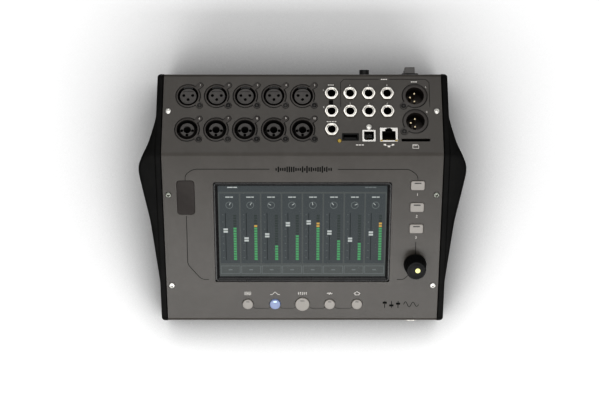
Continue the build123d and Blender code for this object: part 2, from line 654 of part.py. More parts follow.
def make_control_board():
    """L-shaped board under the key column and the row of buttons."""
    low, high = BOARD_LIFT - BOARD_T, BOARD_LIFT
    top_s, bend_s, end_s = 22.0, SCREEN_S + SCREEN_H / 2 + BEZEL_FLANGE + 1.5, 156.0
    inner_x, outer_x = RIGHT_X - 11.2, RIGHT_X + 10.8
    column = block(outer_x - inner_x, end_s - top_s, low, high, (inner_x + outer_x) / 2, -(top_s + end_s) / 2)
    row_w = outer_x + BUTTON_X[-1] + 10
    row = block(row_w, end_s - bend_s, low, high, outer_x - row_w / 2, -(bend_s + end_s) / 2)
    return front(0, 0) * (column + row)


def make_encoder_body():
    body = block(12.0, 12.5, BOARD_LIFT, UNDER, corner=0.6) + rod(3.5, UNDER - 0.1, 5.0)
    return front(RIGHT_X, KNOB_S) * (body - rod(SHAFT_R + SHAFT_GAP, BOARD_LIFT + 1.5, 6))


def make_encoder_shaft():
    shaft = rod(SHAFT_R, BOARD_LIFT + 2.0, 12.0) - block(3, 8, 6.2, 13, 3.8, 0)
    return front(RIGHT_X, KNOB_S) * shaft


def make_encoder_knob():
    """Tapered knob with fine ribs, hollow below and bored for a flatted shaft."""
    height = KNOB_HIGH - KNOB_LOW
    knob = taper(KNOB_BASE_R, KNOB_TOP_R, KNOB_LOW, KNOB_HIGH)
    knob = fillet(top_edges(knob), 1.0)
    slope = KNOB_BASE_R - KNOB_TOP_R
    grooves = []
    for i in range(24):
        groove = Pos(KNOB_BASE_R + 0.15, 0, KNOB_LOW + 2.0) * Rot(0, -slope / height * 57.3, 0)
        grooves.append(Rot(0, 0, 15 * i) * groove * Cylinder(0.45, height, align=STAND))
    bore = rod(SHAFT_R, KNOB_LOW, 12.1) - block(3, 8, 6.4, 13, 3.8, 0)
    pocket = rod(CAP_R, KNOB_HIGH - 0.8, KNOB_HIGH + 1, 1.3, 0)
    return front(RIGHT_X, KNOB_S) * (knob - grooves - rod(6.6, 0, 6.0) - bore - pocket)


def make_knob_cap():
    cap = fillet(top_edges(rod(CAP_R - 0.03, KNOB_HIGH - 0.8, KNOB_HIGH + 0.2)), 0.15)
    return front(RIGHT_X, KNOB_S) * Pos(1.3, 0, 0) * cap


# ---------------------------------------------------------------- rear wall fittings
def make_power_switch_body():
    wide, high, deep = ROCKER_BODY
    body = block(ROCKER_FRAME[0], ROCKER_FRAME[1], 0, 2.0, corner=1.2)
    body = fillet(top_edges(body), 0.6) + block(wide, high, -deep - SHEET_T, 0.1)
    body -= block(ROCKER_W + 0.6, ROCKER_H + 1.6, -4.6, 3)
    body -= Rot(0, 90, 0) * Cylinder(AXLE_R + AXLE_GAP, wide - 1.0)
    return ROCKER.location * body


def make_power_rocker():
    """Two-faced rocker on a cross axle, built leaning with its upper end out."""
    half = ROCKER_H / 2
    lean = radians(ROCKER_LEAN)
    tip = ROCKER_TIP_R
    crown = (ROCKER_PROUD - tip - (half - tip) * sin(lean)) / cos(lean)
    crown += tip / cos(atan(ROCKER_DISH / half)) + tip * ROCKER_DISH / half
    profile = [(-half, 0.6), (-half, crown), (0, crown - ROCKER_DISH), (half, crown), (half, 0.6), (0, -3.2)]
    face = outline_face(profile, [1.0, tip, 6.0, tip, 1.0, 2.0])
    rocker = across(face, -ROCKER_W / 2, ROCKER_W / 2)
    rocker += Rot(0, 90, 0) * Cylinder(AXLE_R, ROCKER_BODY[0] - 1.4)
    return ROCKER.location * Rot(ROCKER_LEAN, 0, 0) * rocker


def make_dc_inlet():
    barrel = rod(INLET_R, -SHEET_T - 0.1, INLET_PROUD) + block(9.0, 11.0, -12.0, -SHEET_T, corner=0.5)
    barrel = barrel + rod(5.2, 0, 0.9) - rod(3.1, -9, INLET_PROUD + 1)
    return INLET.location * (barrel + rod(1.0, -9.5, INLET_PROUD - 1.0))


# ---------------------------------------------------------------- inside
def make_main_board():
    y = Y_FRONT + 34.3 + MAIN_BOARD[1] / 2
    board = block(MAIN_BOARD[0], MAIN_BOARD[1], MAIN_BOARD_Z, MAIN_BOARD_Z + 1.6, 0, y, 3)
    chips = [block(18, 18, MAIN_BOARD_Z + 1.5, MAIN_BOARD_Z + 3.2, x, y + 20) for x in (-70, -30)]
    return board + chips


def make_connector_board():
    """Large board under the audio sockets and the small one under the data sockets."""
    low = -COMBO_DEPTH
    large = rear(0, 32) * block(PANEL_W - 19, 56, low - 1.6, low)
    small = rear(0, 0) * block(52, 18.5, -DATA_DEPTH - 1.6, -DATA_DEPTH, 60, 17.8)
    return gather([large, small])


def make_board_standoffs():
    """Pillars from the pan to the main board and from the panel to the control board."""
    y = Y_FRONT + 34.3 + MAIN_BOARD[1] / 2
    dx, dy = MAIN_BOARD[0] / 2 - 6, MAIN_BOARD[1] / 2 - 6
    floor = FOOT_H + SHEET_T
    pieces = [rod(3, floor, MAIN_BOARD_Z, sx * dx, y + sy * dy) for sx in (-1, 1) for sy in (-1, 1)]
    for x, s in ((RIGHT_X, 88.5), (RIGHT_X, 150), (-46 - 12, 138), (38, 138)):
        pieces.append(front(x, s) * rod(2.2, BOARD_LIFT, UNDER))
    for x in (36.5, 67.0):
        pieces.append(rear(x, 25.0) * rod(1.6, -COMBO_DEPTH, -DATA_DEPTH - 1.6))
    return gather(pieces)


def make_heatsink():
    x, y = 40.0, Y_FRONT + 120
    base = MAIN_BOARD_Z + 1.6
    sink = block(50, 44, base, base + 3, x, y)
    return sink + [block(1.5, 44, base + 2.5, base + 16, x - 22 + 5.5 * i, y) for i in range(9)]


def make_display_cable():
    """Flat cable hanging from the display and lying on the main board."""
    start = front(0, 60, BRACKET_LIFT).position
    base = MAIN_BOARD_Z + 1.6
    y = start.Y + 1.0
    t = CABLE_T
    corners = [(y, start.Z - 1.0), (y, base), (y - 14, base), (y - 14, base + t), (y - t, base + t), (y - t, start.Z - 1.0)]
    face = outline_face(corners, [0, 2.5, 0, 0, 2.5 - t, 0])
    return across(face, -CABLE_W / 2, CABLE_W / 2)


# ---------------------------------------------------------------- build
right_cheek = make_right_cheek()
save("top_panel", make_top_panel())
save("base_pan", make_base_pan())
save("right_cheek", right_cheek)
save("left_cheek", mirror(right_cheek, about=Plane.YZ))
save("rubber_feet", make_rubber_feet())
save("panel_screws", make_panel_screws())
save("black_screws", make_black_screws())
for i, x in enumerate(SOCKET_X):
    save(f"mic_socket_{i + 1}", make_mic_socket(x))
    save(f"mic_latch_{i + 1}", make_mic_latch(x))
    save(f"combo_socket_{i + 6}", make_combo_socket(x))
save("main_out_sockets", make_main_out_sockets())
save("main_out_pins", make_main_out_pins())
save("line_jacks", make_line_jacks())
save("phones_jack", make_phones_jack())
save("panel_nuts", make_panel_nuts())
save("phones_nut", make_phones_nut())
save("usb_host_socket", make_usb_host_socket())
save("usb_device_socket", make_usb_device_socket())
save("network_socket", make_network_socket())
save("card_slot", make_card_slot())
save("status_led", make_status_led())
save("screen_bezel", make_screen_bezel())
save("touch_glass", make_touch_glass())
save("lcd_panel", make_lcd_panel())
save("lcd_bracket", make_lcd_bracket())
save("antenna_cover", make_antenna_cover())
for i, s in enumerate(KEY_S):
    save(f"soft_key_{i + 1}", make_soft_key(s))
BUTTONS = ("setup_button", "process_button", "home_button", "effects_button", "fader_button")
for name, x in zip(BUTTONS, BUTTON_X):
    save(name, make_button(x, HOME_R if name == "home_button" else BUTTON_R))
save("tact_switches", make_tact_switches())
save("control_board", make_control_board())
save("encoder_body", make_encoder_body())
save("encoder_shaft", make_encoder_shaft())
save("encoder_knob", make_encoder_knob())
save("knob_cap", make_knob_cap())
save("power_switch_body", make_power_switch_body())
save("power_rocker", make_power_rocker())
save("dc_inlet", make_dc_inlet())
save("main_board", make_main_board())
save("connector_board", make_connector_board())
save("board_standoffs", make_board_standoffs())
save("heatsink", make_heatsink())
save("display_cable", make_display_cable())
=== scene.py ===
import json
from math import cos, pi, radians, sin, tan

import bpy
import numpy as np
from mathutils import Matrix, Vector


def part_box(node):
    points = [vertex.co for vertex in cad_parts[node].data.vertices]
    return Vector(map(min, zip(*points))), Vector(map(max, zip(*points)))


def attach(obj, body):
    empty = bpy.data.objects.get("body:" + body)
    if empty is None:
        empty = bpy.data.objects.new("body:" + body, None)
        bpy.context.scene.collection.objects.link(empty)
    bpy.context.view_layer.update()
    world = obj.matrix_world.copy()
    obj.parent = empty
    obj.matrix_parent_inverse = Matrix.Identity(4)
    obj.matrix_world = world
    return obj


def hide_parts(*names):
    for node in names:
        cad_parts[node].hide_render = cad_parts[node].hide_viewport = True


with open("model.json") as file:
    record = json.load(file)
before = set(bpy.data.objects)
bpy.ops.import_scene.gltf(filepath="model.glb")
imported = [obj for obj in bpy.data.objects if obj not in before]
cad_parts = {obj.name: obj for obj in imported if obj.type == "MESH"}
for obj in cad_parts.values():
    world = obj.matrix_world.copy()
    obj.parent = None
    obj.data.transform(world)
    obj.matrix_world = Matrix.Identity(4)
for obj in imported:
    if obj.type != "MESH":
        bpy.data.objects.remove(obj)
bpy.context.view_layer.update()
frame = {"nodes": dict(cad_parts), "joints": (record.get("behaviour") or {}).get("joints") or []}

bl_info = {
    "name": "Compact Mixing Desk",
    "version": (1, 0, 0),
    "blender": (4, 5, 0),
    "location": "View3D > Sidebar > Mixing Desk",
    "description": "Builds the visible pieces of a table-top audio mixing desk on its frame",
    "category": "Object",
}

MM = 0.001
JOINTS = {joint["name"]: joint for joint in frame["joints"]}
PANEL_LOW = np.array(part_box("top_panel")[0]) / MM
WALL_LOW, WALL_HIGH = (np.array(corner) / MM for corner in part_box("right_cheek"))
FRONT_TILT = np.arcsin(-JOINTS["knob_turn"]["axis"][1])
REAR_TILT = np.arcsin(-JOINTS["mic_latch_1_press"]["axis"][1])
FRONT_SLOPE = 163.1
CREST_Y = PANEL_LOW[1] + FRONT_SLOPE * cos(FRONT_TILT)
CREST_Z = 90.0
FLOOR_Z = 4.0
# Places of parts: x from the middle, s down a slope from the crest
KEY_X, KNOB_S, SCREEN_S = 103.2, 106.5, 75.4
BUTTON_PITCH, BUTTON_S = 25.3, 146.4
SCREW_X = 120.4
MIC_X, MIC_S = [-102.9 + 25.75 * i for i in range(5)], (55.3, 23.1)
MAIN_OUT_X, MAIN_OUT_S = 101.0, (55.4, 30.9)
STEREO_X, OUTPUT_X, JACK_S = 26.1, [42.8 + 16.7 * i for i in range(3)], (57.5, 40.3)
JACK_FLAT, BUSH_RADIUS, BORE_RADIUS = 11.4, 4.42, 3.27


# ------------------------------------------------------------------ places
def place_matrix(origin, normal, across=(1, 0, 0)):
    """Local X runs across, local Z along the normal, local Y completes the frame."""
    x_axis, z_axis = np.array(across, float), np.array(normal, float)
    matrix = np.eye(4)
    matrix[:3, 0], matrix[:3, 1], matrix[:3, 2] = x_axis, np.cross(z_axis, x_axis), z_axis
    matrix[:3, 3] = origin
    return matrix


def shift(x, y, z=0.0):
    matrix = np.eye(4)
    matrix[:3, 3] = (x, y, z)
    return matrix


FRONT = place_matrix((0, CREST_Y, CREST_Z), (0, -sin(FRONT_TILT), cos(FRONT_TILT)))
REAR = place_matrix((0, CREST_Y, CREST_Z), (0, sin(REAR_TILT), cos(REAR_TILT)))


def front(x, s, lift=0.0):
    """Place on the front slope, s millimetres down from the crest."""
    return FRONT @ shift(x, -s, lift)


def rear(x, s, lift=0.0):
    """Place on the rear slope, s millimetres down from the crest."""
    return REAR @ shift(x, s, lift)


# ------------------------------------------------------------------ shapes: (points, faces)
def moved(shape, matrix):
    points, faces = shape
    return points @ matrix[:3, :3].T + matrix[:3, 3], faces


def joined(shapes):
    points, faces, start = [], [], 0
    for part_points, part_faces in shapes:
        points.append(part_points)
        faces += [[index + start for index in face] for face in part_faces]
        start += len(part_points)
    return np.concatenate(points), faces


def quads(rows, columns, closed=True):
    """Index grid of quads between rows of points; closed joins the last column to the first."""
    row = np.arange(rows - 1)[:, None] * columns
    left = np.arange(columns if closed else columns - 1)[None, :]
    right = (left + 1) % columns
    faces = np.stack([row + left, row + right, row + columns + right, row + columns + left], -1)
    return faces.reshape(-1, 4).tolist()


def loft(loops, start=True, end=True):
    """Closed loops of points carried one after another, with flat ends."""
    loops = np.asarray(loops, float)
    rows, columns = loops.shape[:2]
    faces = quads(rows, columns)
    if start:
        faces.append(list(range(columns))[::-1])
    if end:
        faces.append([(rows - 1) * columns + i for i in range(columns)])
    return loops.reshape(-1, 3), faces


def lathe(profile, count=48, wave=None):
    """Profile of (radius, height) turned about Z: x = r cos a, y = r sin a. A wave scales r."""
    profile = np.asarray(profile, float)
    angle = np.arange(count) * 2 * pi / count
    radius = np.repeat(profile[:, :1], count, 1)
    if wave is not None:
        radius = radius * wave(angle[None, :], np.linspace(0, 1, len(profile))[:, None])
    height = np.repeat(profile[:, 1:], count, 1)
    loops = np.stack([radius * np.cos(angle), radius * np.sin(angle), height], -1)
    low, high = profile[0, 0] < 1e-6, profile[-1, 0] < 1e-6
    body = loops[int(low):len(loops) - int(high)]
    points, faces = loft(body, False, False)
    for pole, first, flip in ((low, 0, True), (high, (len(body) - 1) * count, False)):
        if pole:
            tip = loops[0, 0] if flip else loops[-1, 0]
            points = np.vstack([points, tip[None] * (0, 0, 1)])
            ring = [first + i for i in range(count)]
            fan = [[ring[i], ring[(i + 1) % count], len(points) - 1] for i in range(count)]
            faces += [face[::-1] for face in fan] if flip else fan
    return points, faces


def round_rect(width, height, corner, steps=8):
    """Rounded rectangle: four quarter circles of the corner radius joined by straight sides."""
    turn = np.linspace(0, pi / 2, steps)
    points = []
    for quarter in range(4):
        angle = turn + quarter * pi / 2
        cx = (width / 2 - corner) * (1 if quarter in (0, 3) else -1)
        cy = (height / 2 - corner) * (1 if quarter in (0, 1) else -1)
        points.append(np.stack([cx + corner * np.cos(angle), cy + corner * np.sin(angle)], -1))
    return np.concatenate(points)


def pad(width, height, corner, levels):
    """Rounded rectangle lofted through (inset, lift) levels."""
    loops = []
    for inset, lift in levels:
        outline = round_rect(width - 2 * inset, height - 2 * inset, max(corner - inset, 0.05))
        loops.append(np.column_stack([outline, np.full(len(outline), lift)]))
    return loops


def rounded_levels(low, high, radius, steps=5):
    """Straight side and a quarter-round top edge as (inset, lift)."""
    angle = np.linspace(0, pi / 2, steps)
    edge = [(radius - radius * cos(a), high - radius + radius * sin(a)) for a in angle]
    return [(0, low)] + edge


def round_over(radius, base, across, up, turn):
    """Quarter-round end of a turned profile, as (radius, height)."""
    return [(radius - across * (1 - cos(a)), base + up * sin(a)) for a in turn]


def ribbon(points, width, lift=0.0, closed=False):
    """Flat line of even width: each point is pushed half the width to both sides along its normal."""
    points = np.asarray(points, float)
    ahead = np.roll(points, -1, 0) - points
    behind = points - np.roll(points, 1, 0)
    if not closed:
        ahead[-1], behind[0] = behind[-1], ahead[0]
    ahead /= np.linalg.norm(ahead, axis=1)[:, None]
    behind /= np.linalg.norm(behind, axis=1)[:, None]
    normal = np.stack([-(ahead + behind)[:, 1], (ahead + behind)[:, 0]], -1)
    normal /= np.maximum((normal ** 2).sum(1) / 2, 0.5)[:, None]
    sides = np.stack([points - normal * width / 2, points + normal * width / 2], 1)
    flat = np.concatenate([sides, np.full(sides.shape[:2] + (1,), lift)], -1).reshape(-1, 3)
    count = len(points) if closed else len(points) - 1
    size = len(points)
    return flat, [[2 * i, 2 * ((i + 1) % size), 2 * ((i + 1) % size) + 1, 2 * i + 1] for i in range(count)]


def rounded_line(points, radius, steps=7):
    """Polyline with each inner corner replaced by a circular blend of the given reach."""
    points = np.asarray(points, float)
    out = [points[0]]
    t = np.linspace(0, 1, steps)[:, None]
    for before, corner, after in zip(points[:-2], points[1:-1], points[2:]):
        a = corner + (before - corner) / np.linalg.norm(before - corner) * radius
        b = corner + (after - corner) / np.linalg.norm(after - corner) * radius
        out += list((1 - t) ** 2 * a + 2 * t * (1 - t) * corner + t ** 2 * b)
    out.append(points[-1])
    return np.array(out)


def rectangle(x0, y0, x1, y1, lift=0.0):
    return np.array([(x0, y0, lift), (x1, y0, lift), (x1, y1, lift), (x0, y1, lift)], float), [[0, 1, 2, 3]]


def glyphs(text, height):
    """Flat character outlines, centred, scaled to a capital height."""
    curve = bpy.data.curves.new("glyph", "FONT")
    curve.body, curve.align_x, curve.align_y = text, "CENTER", "CENTER"
    curve.size, curve.resolution_u = height * 1.38, 4
    holder = bpy.data.objects.new("glyph", curve)
    mesh = bpy.data.meshes.new_from_object(holder)
    points = np.empty(len(mesh.vertices) * 3)
    mesh.vertices.foreach_get("co", points)
    faces = [list(polygon.vertices) for polygon in mesh.polygons]
    points = points.reshape(-1, 3)
    points[:, :2] -= (points[:, :2].min(0) + points[:, :2].max(0)) / 2
    bpy.data.objects.remove(holder)
    bpy.data.curves.remove(curve)
    bpy.data.meshes.remove(mesh)
    return points, faces


def make_piece(name, shape, body, material, replaces=(), sharp=38.0, colours=None):
    """Puts a shape, in millimetres, into a mesh at the origin and hangs it on its body."""
    points, faces = shape
    mesh = bpy.data.meshes.new(name)
    mesh.from_pydata(points * MM, [], faces)
    mesh.validate()
    mesh.polygons.foreach_set("use_smooth", np.ones(len(mesh.polygons), bool))
    mesh.set_sharp_from_angle(angle=radians(sharp))
    if colours is not None:
        layer = mesh.color_attributes.new("tint", "FLOAT_COLOR", "CORNER")
        counts = [len(face) for face in faces]
        layer.data.foreach_set("color", np.repeat(colours, counts, 0).ravel())
    mesh.materials.append(finish(material))
    mesh.update()
    piece = bpy.data.objects.new(name, mesh)
    bpy.context.scene.collection.objects.link(piece)
    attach(piece, body)
    if replaces:
        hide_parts(*replaces)
    return piece


def dress(node, material):
    """Gives a carried-over node its finish."""
    obj = frame["nodes"][node]
    obj.data.materials.clear()
    obj.data.materials.append(finish(material))


# ------------------------------------------------------------------ shader groups
def socket(tree, name, way, kind, default=None):
    made = tree.interface.new_socket(name, in_out=way, socket_type=kind)
    if default is not None:
        made.default_value = default


def feed(tree, value, target):
    """Sets an input to a number or a colour, or links another node's output to it."""
    if isinstance(value, (int, float)):
        target.default_value = value
    elif isinstance(value, (tuple, list)):
        target.default_value = (*value[:3], 1)
    else:
        tree.links.new(value, target)


def math_node(tree, operation, first, second, clamp=False):
    node = tree.nodes.new("ShaderNodeMath")
    node.operation, node.use_clamp = operation, clamp
    for index, value in enumerate((first, second)):
        feed(tree, value, node.inputs[index])
    return node.outputs[0]


def noise_node(tree, vector, scale, detail=3.0, roughness=0.55):
    node = tree.nodes.new("ShaderNodeTexNoise")
    for name, value in (("Vector", vector), ("Scale", scale), ("Detail", detail), ("Roughness", roughness)):
        feed(tree, value, node.inputs[name])
    return node.outputs["Fac"]


def remap(tree, value, low, high, out_low=0.0, out_high=1.0):
    node = tree.nodes.new("ShaderNodeMapRange")
    tree.links.new(value, node.inputs["Value"])
    for name, number in (("From Min", low), ("From Max", high), ("To Min", out_low), ("To Max", out_high)):
        feed(tree, number, node.inputs[name])
    return node.outputs[0]


def new_group(name, inputs, outputs):
    tree = bpy.data.node_groups.new(name, "ShaderNodeTree")
    for label, kind, default in inputs:
        socket(tree, label, "INPUT", kind, default)
    for label, kind in outputs:
        socket(tree, label, "OUTPUT", kind)
    return tree, tree.nodes.new("NodeGroupInput"), tree.nodes.new("NodeGroupOutput")


def own_place(tree):
    """Coordinates that stay with the piece."""
    return tree.nodes.new("ShaderNodeTexCoord").outputs["Object"]


def grain_group():
    """Fine moulded or sprayed texture: two sizes of noise added, as a height."""
    tree, given, out = new_group("Grain",
            [("Scale", "NodeSocketFloat", 1500.0), ("Stretch", "NodeSocketVector", (1, 1, 1))],
                                 [("Height", "NodeSocketFloat")])
    place = own_place(tree)
    stretched = tree.nodes.new("ShaderNodeVectorMath")
    stretched.operation = "MULTIPLY"
    tree.links.new(place, stretched.inputs[0])
    tree.links.new(given.outputs["Stretch"], stretched.inputs[1])
    fine = noise_node(tree, stretched.outputs[0], given.outputs["Scale"], 2.0)
    coarse = noise_node(tree, stretched.outputs[0], math_node(tree, "MULTIPLY", given.outputs["Scale"], 0.31),
            2.0)
    height = math_node(tree, "ADD", math_node(tree, "MULTIPLY", fine, 0.6),
            math_node(tree, "MULTIPLY", coarse, 0.4))
    tree.links.new(height, out.inputs["Height"])
    return tree


def edges_group():
    """Rounded-edge normal, and a mask that is bright where the surface turns sharply."""
    tree, given, out = new_group("Soft Edges",
            [("Radius", "NodeSocketFloat", 0.0004), ("Breakup", "NodeSocketFloat", 0.5)],
                                 [("Normal", "NodeSocketVector"), ("Mask", "NodeSocketFloat")])
    bevel = tree.nodes.new("ShaderNodeBevel")
    bevel.samples = 4
    tree.links.new(given.outputs["Radius"], bevel.inputs["Radius"])
    geometry = tree.nodes.new("ShaderNodeNewGeometry")
    dot = tree.nodes.new("ShaderNodeVectorMath")
    dot.operation = "DOT_PRODUCT"
    tree.links.new(bevel.outputs[0], dot.inputs[0])
    tree.links.new(geometry.outputs["Normal"], dot.inputs[1])
    turned = remap(tree, dot.outputs["Value"], 0.995, 0.86)
    place = own_place(tree)
    patchy = remap(tree, noise_node(tree, place, 260.0, 4.0, 0.7), given.outputs["Breakup"], 0.75)
    tree.links.new(bevel.outputs[0], out.inputs["Normal"])
    tree.links.new(math_node(tree, "MULTIPLY", turned, patchy, True), out.inputs["Mask"])
    return tree


def dust_group():
    """Thin patchy dust on faces that look up, as a mask."""
    tree, given, out = new_group("Dust", [("Amount", "NodeSocketFloat", 0.1)], [("Mask", "NodeSocketFloat")])
    place = own_place(tree)
    normal = tree.nodes.new("ShaderNodeSeparateXYZ")
    tree.links.new(tree.nodes.new("ShaderNodeNewGeometry").outputs["Normal"], normal.inputs[0])
    facing = remap(tree, normal.outputs["Z"], 0.2, 1.0)
    patchy = remap(tree, noise_node(tree, place, 38.0, 6.0, 0.65), 0.42, 0.72)
    mask = math_node(tree, "MULTIPLY", math_node(tree, "MULTIPLY", facing, patchy), given.outputs["Amount"],
            True)
    tree.links.new(mask, out.inputs["Mask"])
    return tree


def drift_group():
    """Slow drift of tone across a surface, as a value about a half."""
    tree, given, out = new_group("Tone Drift", [("Scale", "NodeSocketFloat", 14.0)],
            [("Value", "NodeSocketFloat")])
    place = own_place(tree)
    tree.links.new(remap(tree, noise_node(tree, place, given.outputs["Scale"], 3.0), 0.3, 0.7),
            out.inputs["Value"])
    return tree


GROUPS = {}


def placed(tree, name, **values):
    """One copy of a shared group in a material, with its own values."""
    makers = {"Grain": grain_group, "Soft Edges": edges_group, "Dust": dust_group, "Tone Drift": drift_group}
    if name not in GROUPS:
        GROUPS[name] = makers[name]()
    node = tree.nodes.new("ShaderNodeGroup")
    node.node_tree = GROUPS[name]
    for label, value in values.items():
        node.inputs[label].default_value = value
    return node


def blend_colour(tree, mask, first, second, mode="MIX"):
    node = tree.nodes.new("ShaderNodeMix")
    node.data_type, node.blend_type = "RGBA", mode
    for index, value in ((0, mask), (6, first), (7, second)):
        feed(tree, value, node.inputs[index])
    return node.outputs[2]


def linear(red, green, blue):
    """Screen colour 0-255 turned into light."""
    c = np.array([red, green, blue]) / 255
    return tuple(float(v) for v in np.where(c <= 0.04045, c / 12.92, ((c + 0.055) / 1.055) ** 2.4))


CURVE_OUT = (0, 30, 52, 70, 83, 104, 157, 172, 209, 255)
CURVE_IN = (0, 42, 64, 80, 91, 108, 147, 158, 185, 226)


def shown(red, green, blue):
    """Light that the stage's tone curve turns into this screen colour."""
    return linear(*np.interp((red, green, blue), CURVE_OUT, CURVE_IN))


def new_material(name):
    material = bpy.data.materials.new(name)
    material.use_nodes = True
    return material, material.node_tree, material.node_tree.nodes["Principled BSDF"]


def set_inputs(surface, values):
    for name, value in values.items():
        surface.inputs[name].default_value = value


def shade(name, colour, rough=0.5, metal=0.0, grain=1500.0, depth=0.00002, stretch=(1, 1, 1), edge=0.00035,
        wear=0.0,
          wear_colour=(0.3, 0.3, 0.3), dust=0.05, drift=0.12, coat=0.0, glow=None, glow_power=0.0,
          specular=0.5):
    """Painted, moulded or metal finish built from the shared groups."""
    material, tree, surface = new_material(name)
    dark = tuple(c * (1 - drift) for c in colour)
    light = tuple(min(1.0, c * (1 + drift)) for c in colour)
    base = blend_colour(tree, placed(tree, "Tone Drift").outputs[0], dark, light)
    edges = placed(tree, "Soft Edges", Radius=edge)
    if wear:
        worn = math_node(tree, "MULTIPLY", edges.outputs["Mask"], wear, True)
        base = blend_colour(tree, worn, base, wear_colour)
    settled = placed(tree, "Dust", Amount=dust)
    base = blend_colour(tree, settled.outputs[0], base, (0.45, 0.43, 0.4))
    texture = placed(tree, "Grain", Scale=grain, Stretch=stretch)
    rougher = remap(tree, texture.outputs[0], 0.25, 0.75, max(rough - 0.06, 0.02), min(rough + 0.08, 1.0))
    rougher = math_node(tree, "ADD", rougher, math_node(tree, "MULTIPLY", settled.outputs[0], 0.4), True)
    bump = tree.nodes.new("ShaderNodeBump")
    bump.inputs["Strength"].default_value = 0.6
    bump.inputs["Distance"].default_value = depth
    tree.links.new(texture.outputs[0], bump.inputs["Height"])
    tree.links.new(edges.outputs["Normal"], bump.inputs["Normal"])
    tree.links.new(base, surface.inputs["Base Color"])
    tree.links.new(rougher, surface.inputs["Roughness"])
    tree.links.new(bump.outputs[0], surface.inputs["Normal"])
    set_inputs(surface, {"Metallic": metal, "Coat Weight": coat, "Specular IOR Level": specular})
    if glow:
        uneven = placed(tree, "Tone Drift", Scale=90.0).outputs[0]
        shine = blend_colour(tree, uneven, tuple(c * 0.92 for c in glow), glow)
        tree.links.new(shine, surface.inputs["Emission Color"])
        surface.inputs["Emission Strength"].default_value = glow_power
    return material


def display_material():
    """Lit display: the tiles' own colours, very slightly uneven."""
    material, tree, surface = new_material("display_image")
    tint = tree.nodes.new("ShaderNodeAttribute")
    tint.attribute_name = "tint"
    place = own_place(tree)
    flicker = remap(tree, noise_node(tree, place, 900.0, 1.0), 0.3, 0.7, 0.9, 1.0)
    colour = blend_colour(tree, 1.0, tint.outputs["Color"], flicker, "MULTIPLY")
    tree.links.new(colour, surface.inputs["Emission Color"])
    tree.links.new(blend_colour(tree, 1.0, colour, (0.42, 0.42, 0.42), "MULTIPLY"),
            surface.inputs["Base Color"])
    set_inputs(surface, {"Emission Strength": 0.62, "Roughness": 0.6, "Specular IOR Level": 0.1})
    return material


def glass_material():
    """Thin clear cover: mostly see-through, with faint finger smears in its gloss."""
    material, tree, surface = new_material("touch_glass")
    place = own_place(tree)
    smear = remap(tree, noise_node(tree, place, 42.0, 5.0, 0.7), 0.45, 0.75, 0.26, 0.4)
    tree.links.new(smear, surface.inputs["Roughness"])
    set_inputs(surface, {"Base Color": (0.02, 0.022, 0.024, 1), "Alpha": 0.06, "Specular IOR Level": 0.5})
    return material


def floor_material():
    """Pale floor with a painted shadow: its colour is darker where the desk stands close over it."""
    material, tree, surface = new_material("floor")
    place = own_place(tree)
    tone = remap(tree, noise_node(tree, place, 3.0, 2.0), 0.3, 0.7)
    pale = blend_colour(tree, tone, (0.95, 0.95, 0.95), (0.97, 0.97, 0.97))
    # Painted shadow: the desk's ambient occlusion darkens the floor's own colour near it, down to 0.36 of the
    # pale tone.
    shadow_occlusion = tree.nodes.new("ShaderNodeAmbientOcclusion")
    shadow_occlusion.samples = 8
    shadow_occlusion.inputs["Distance"].default_value = 0.18
    painted_contact_shadow = remap(tree, shadow_occlusion.outputs["AO"], 0.4, 1.0, 0.36, 1.0)
    tree.links.new(blend_colour(tree, 1.0, pale, painted_contact_shadow, "MULTIPLY"), surface.inputs["Base Color"])
    surface.inputs["Roughness"].default_value = 0.9
    return material


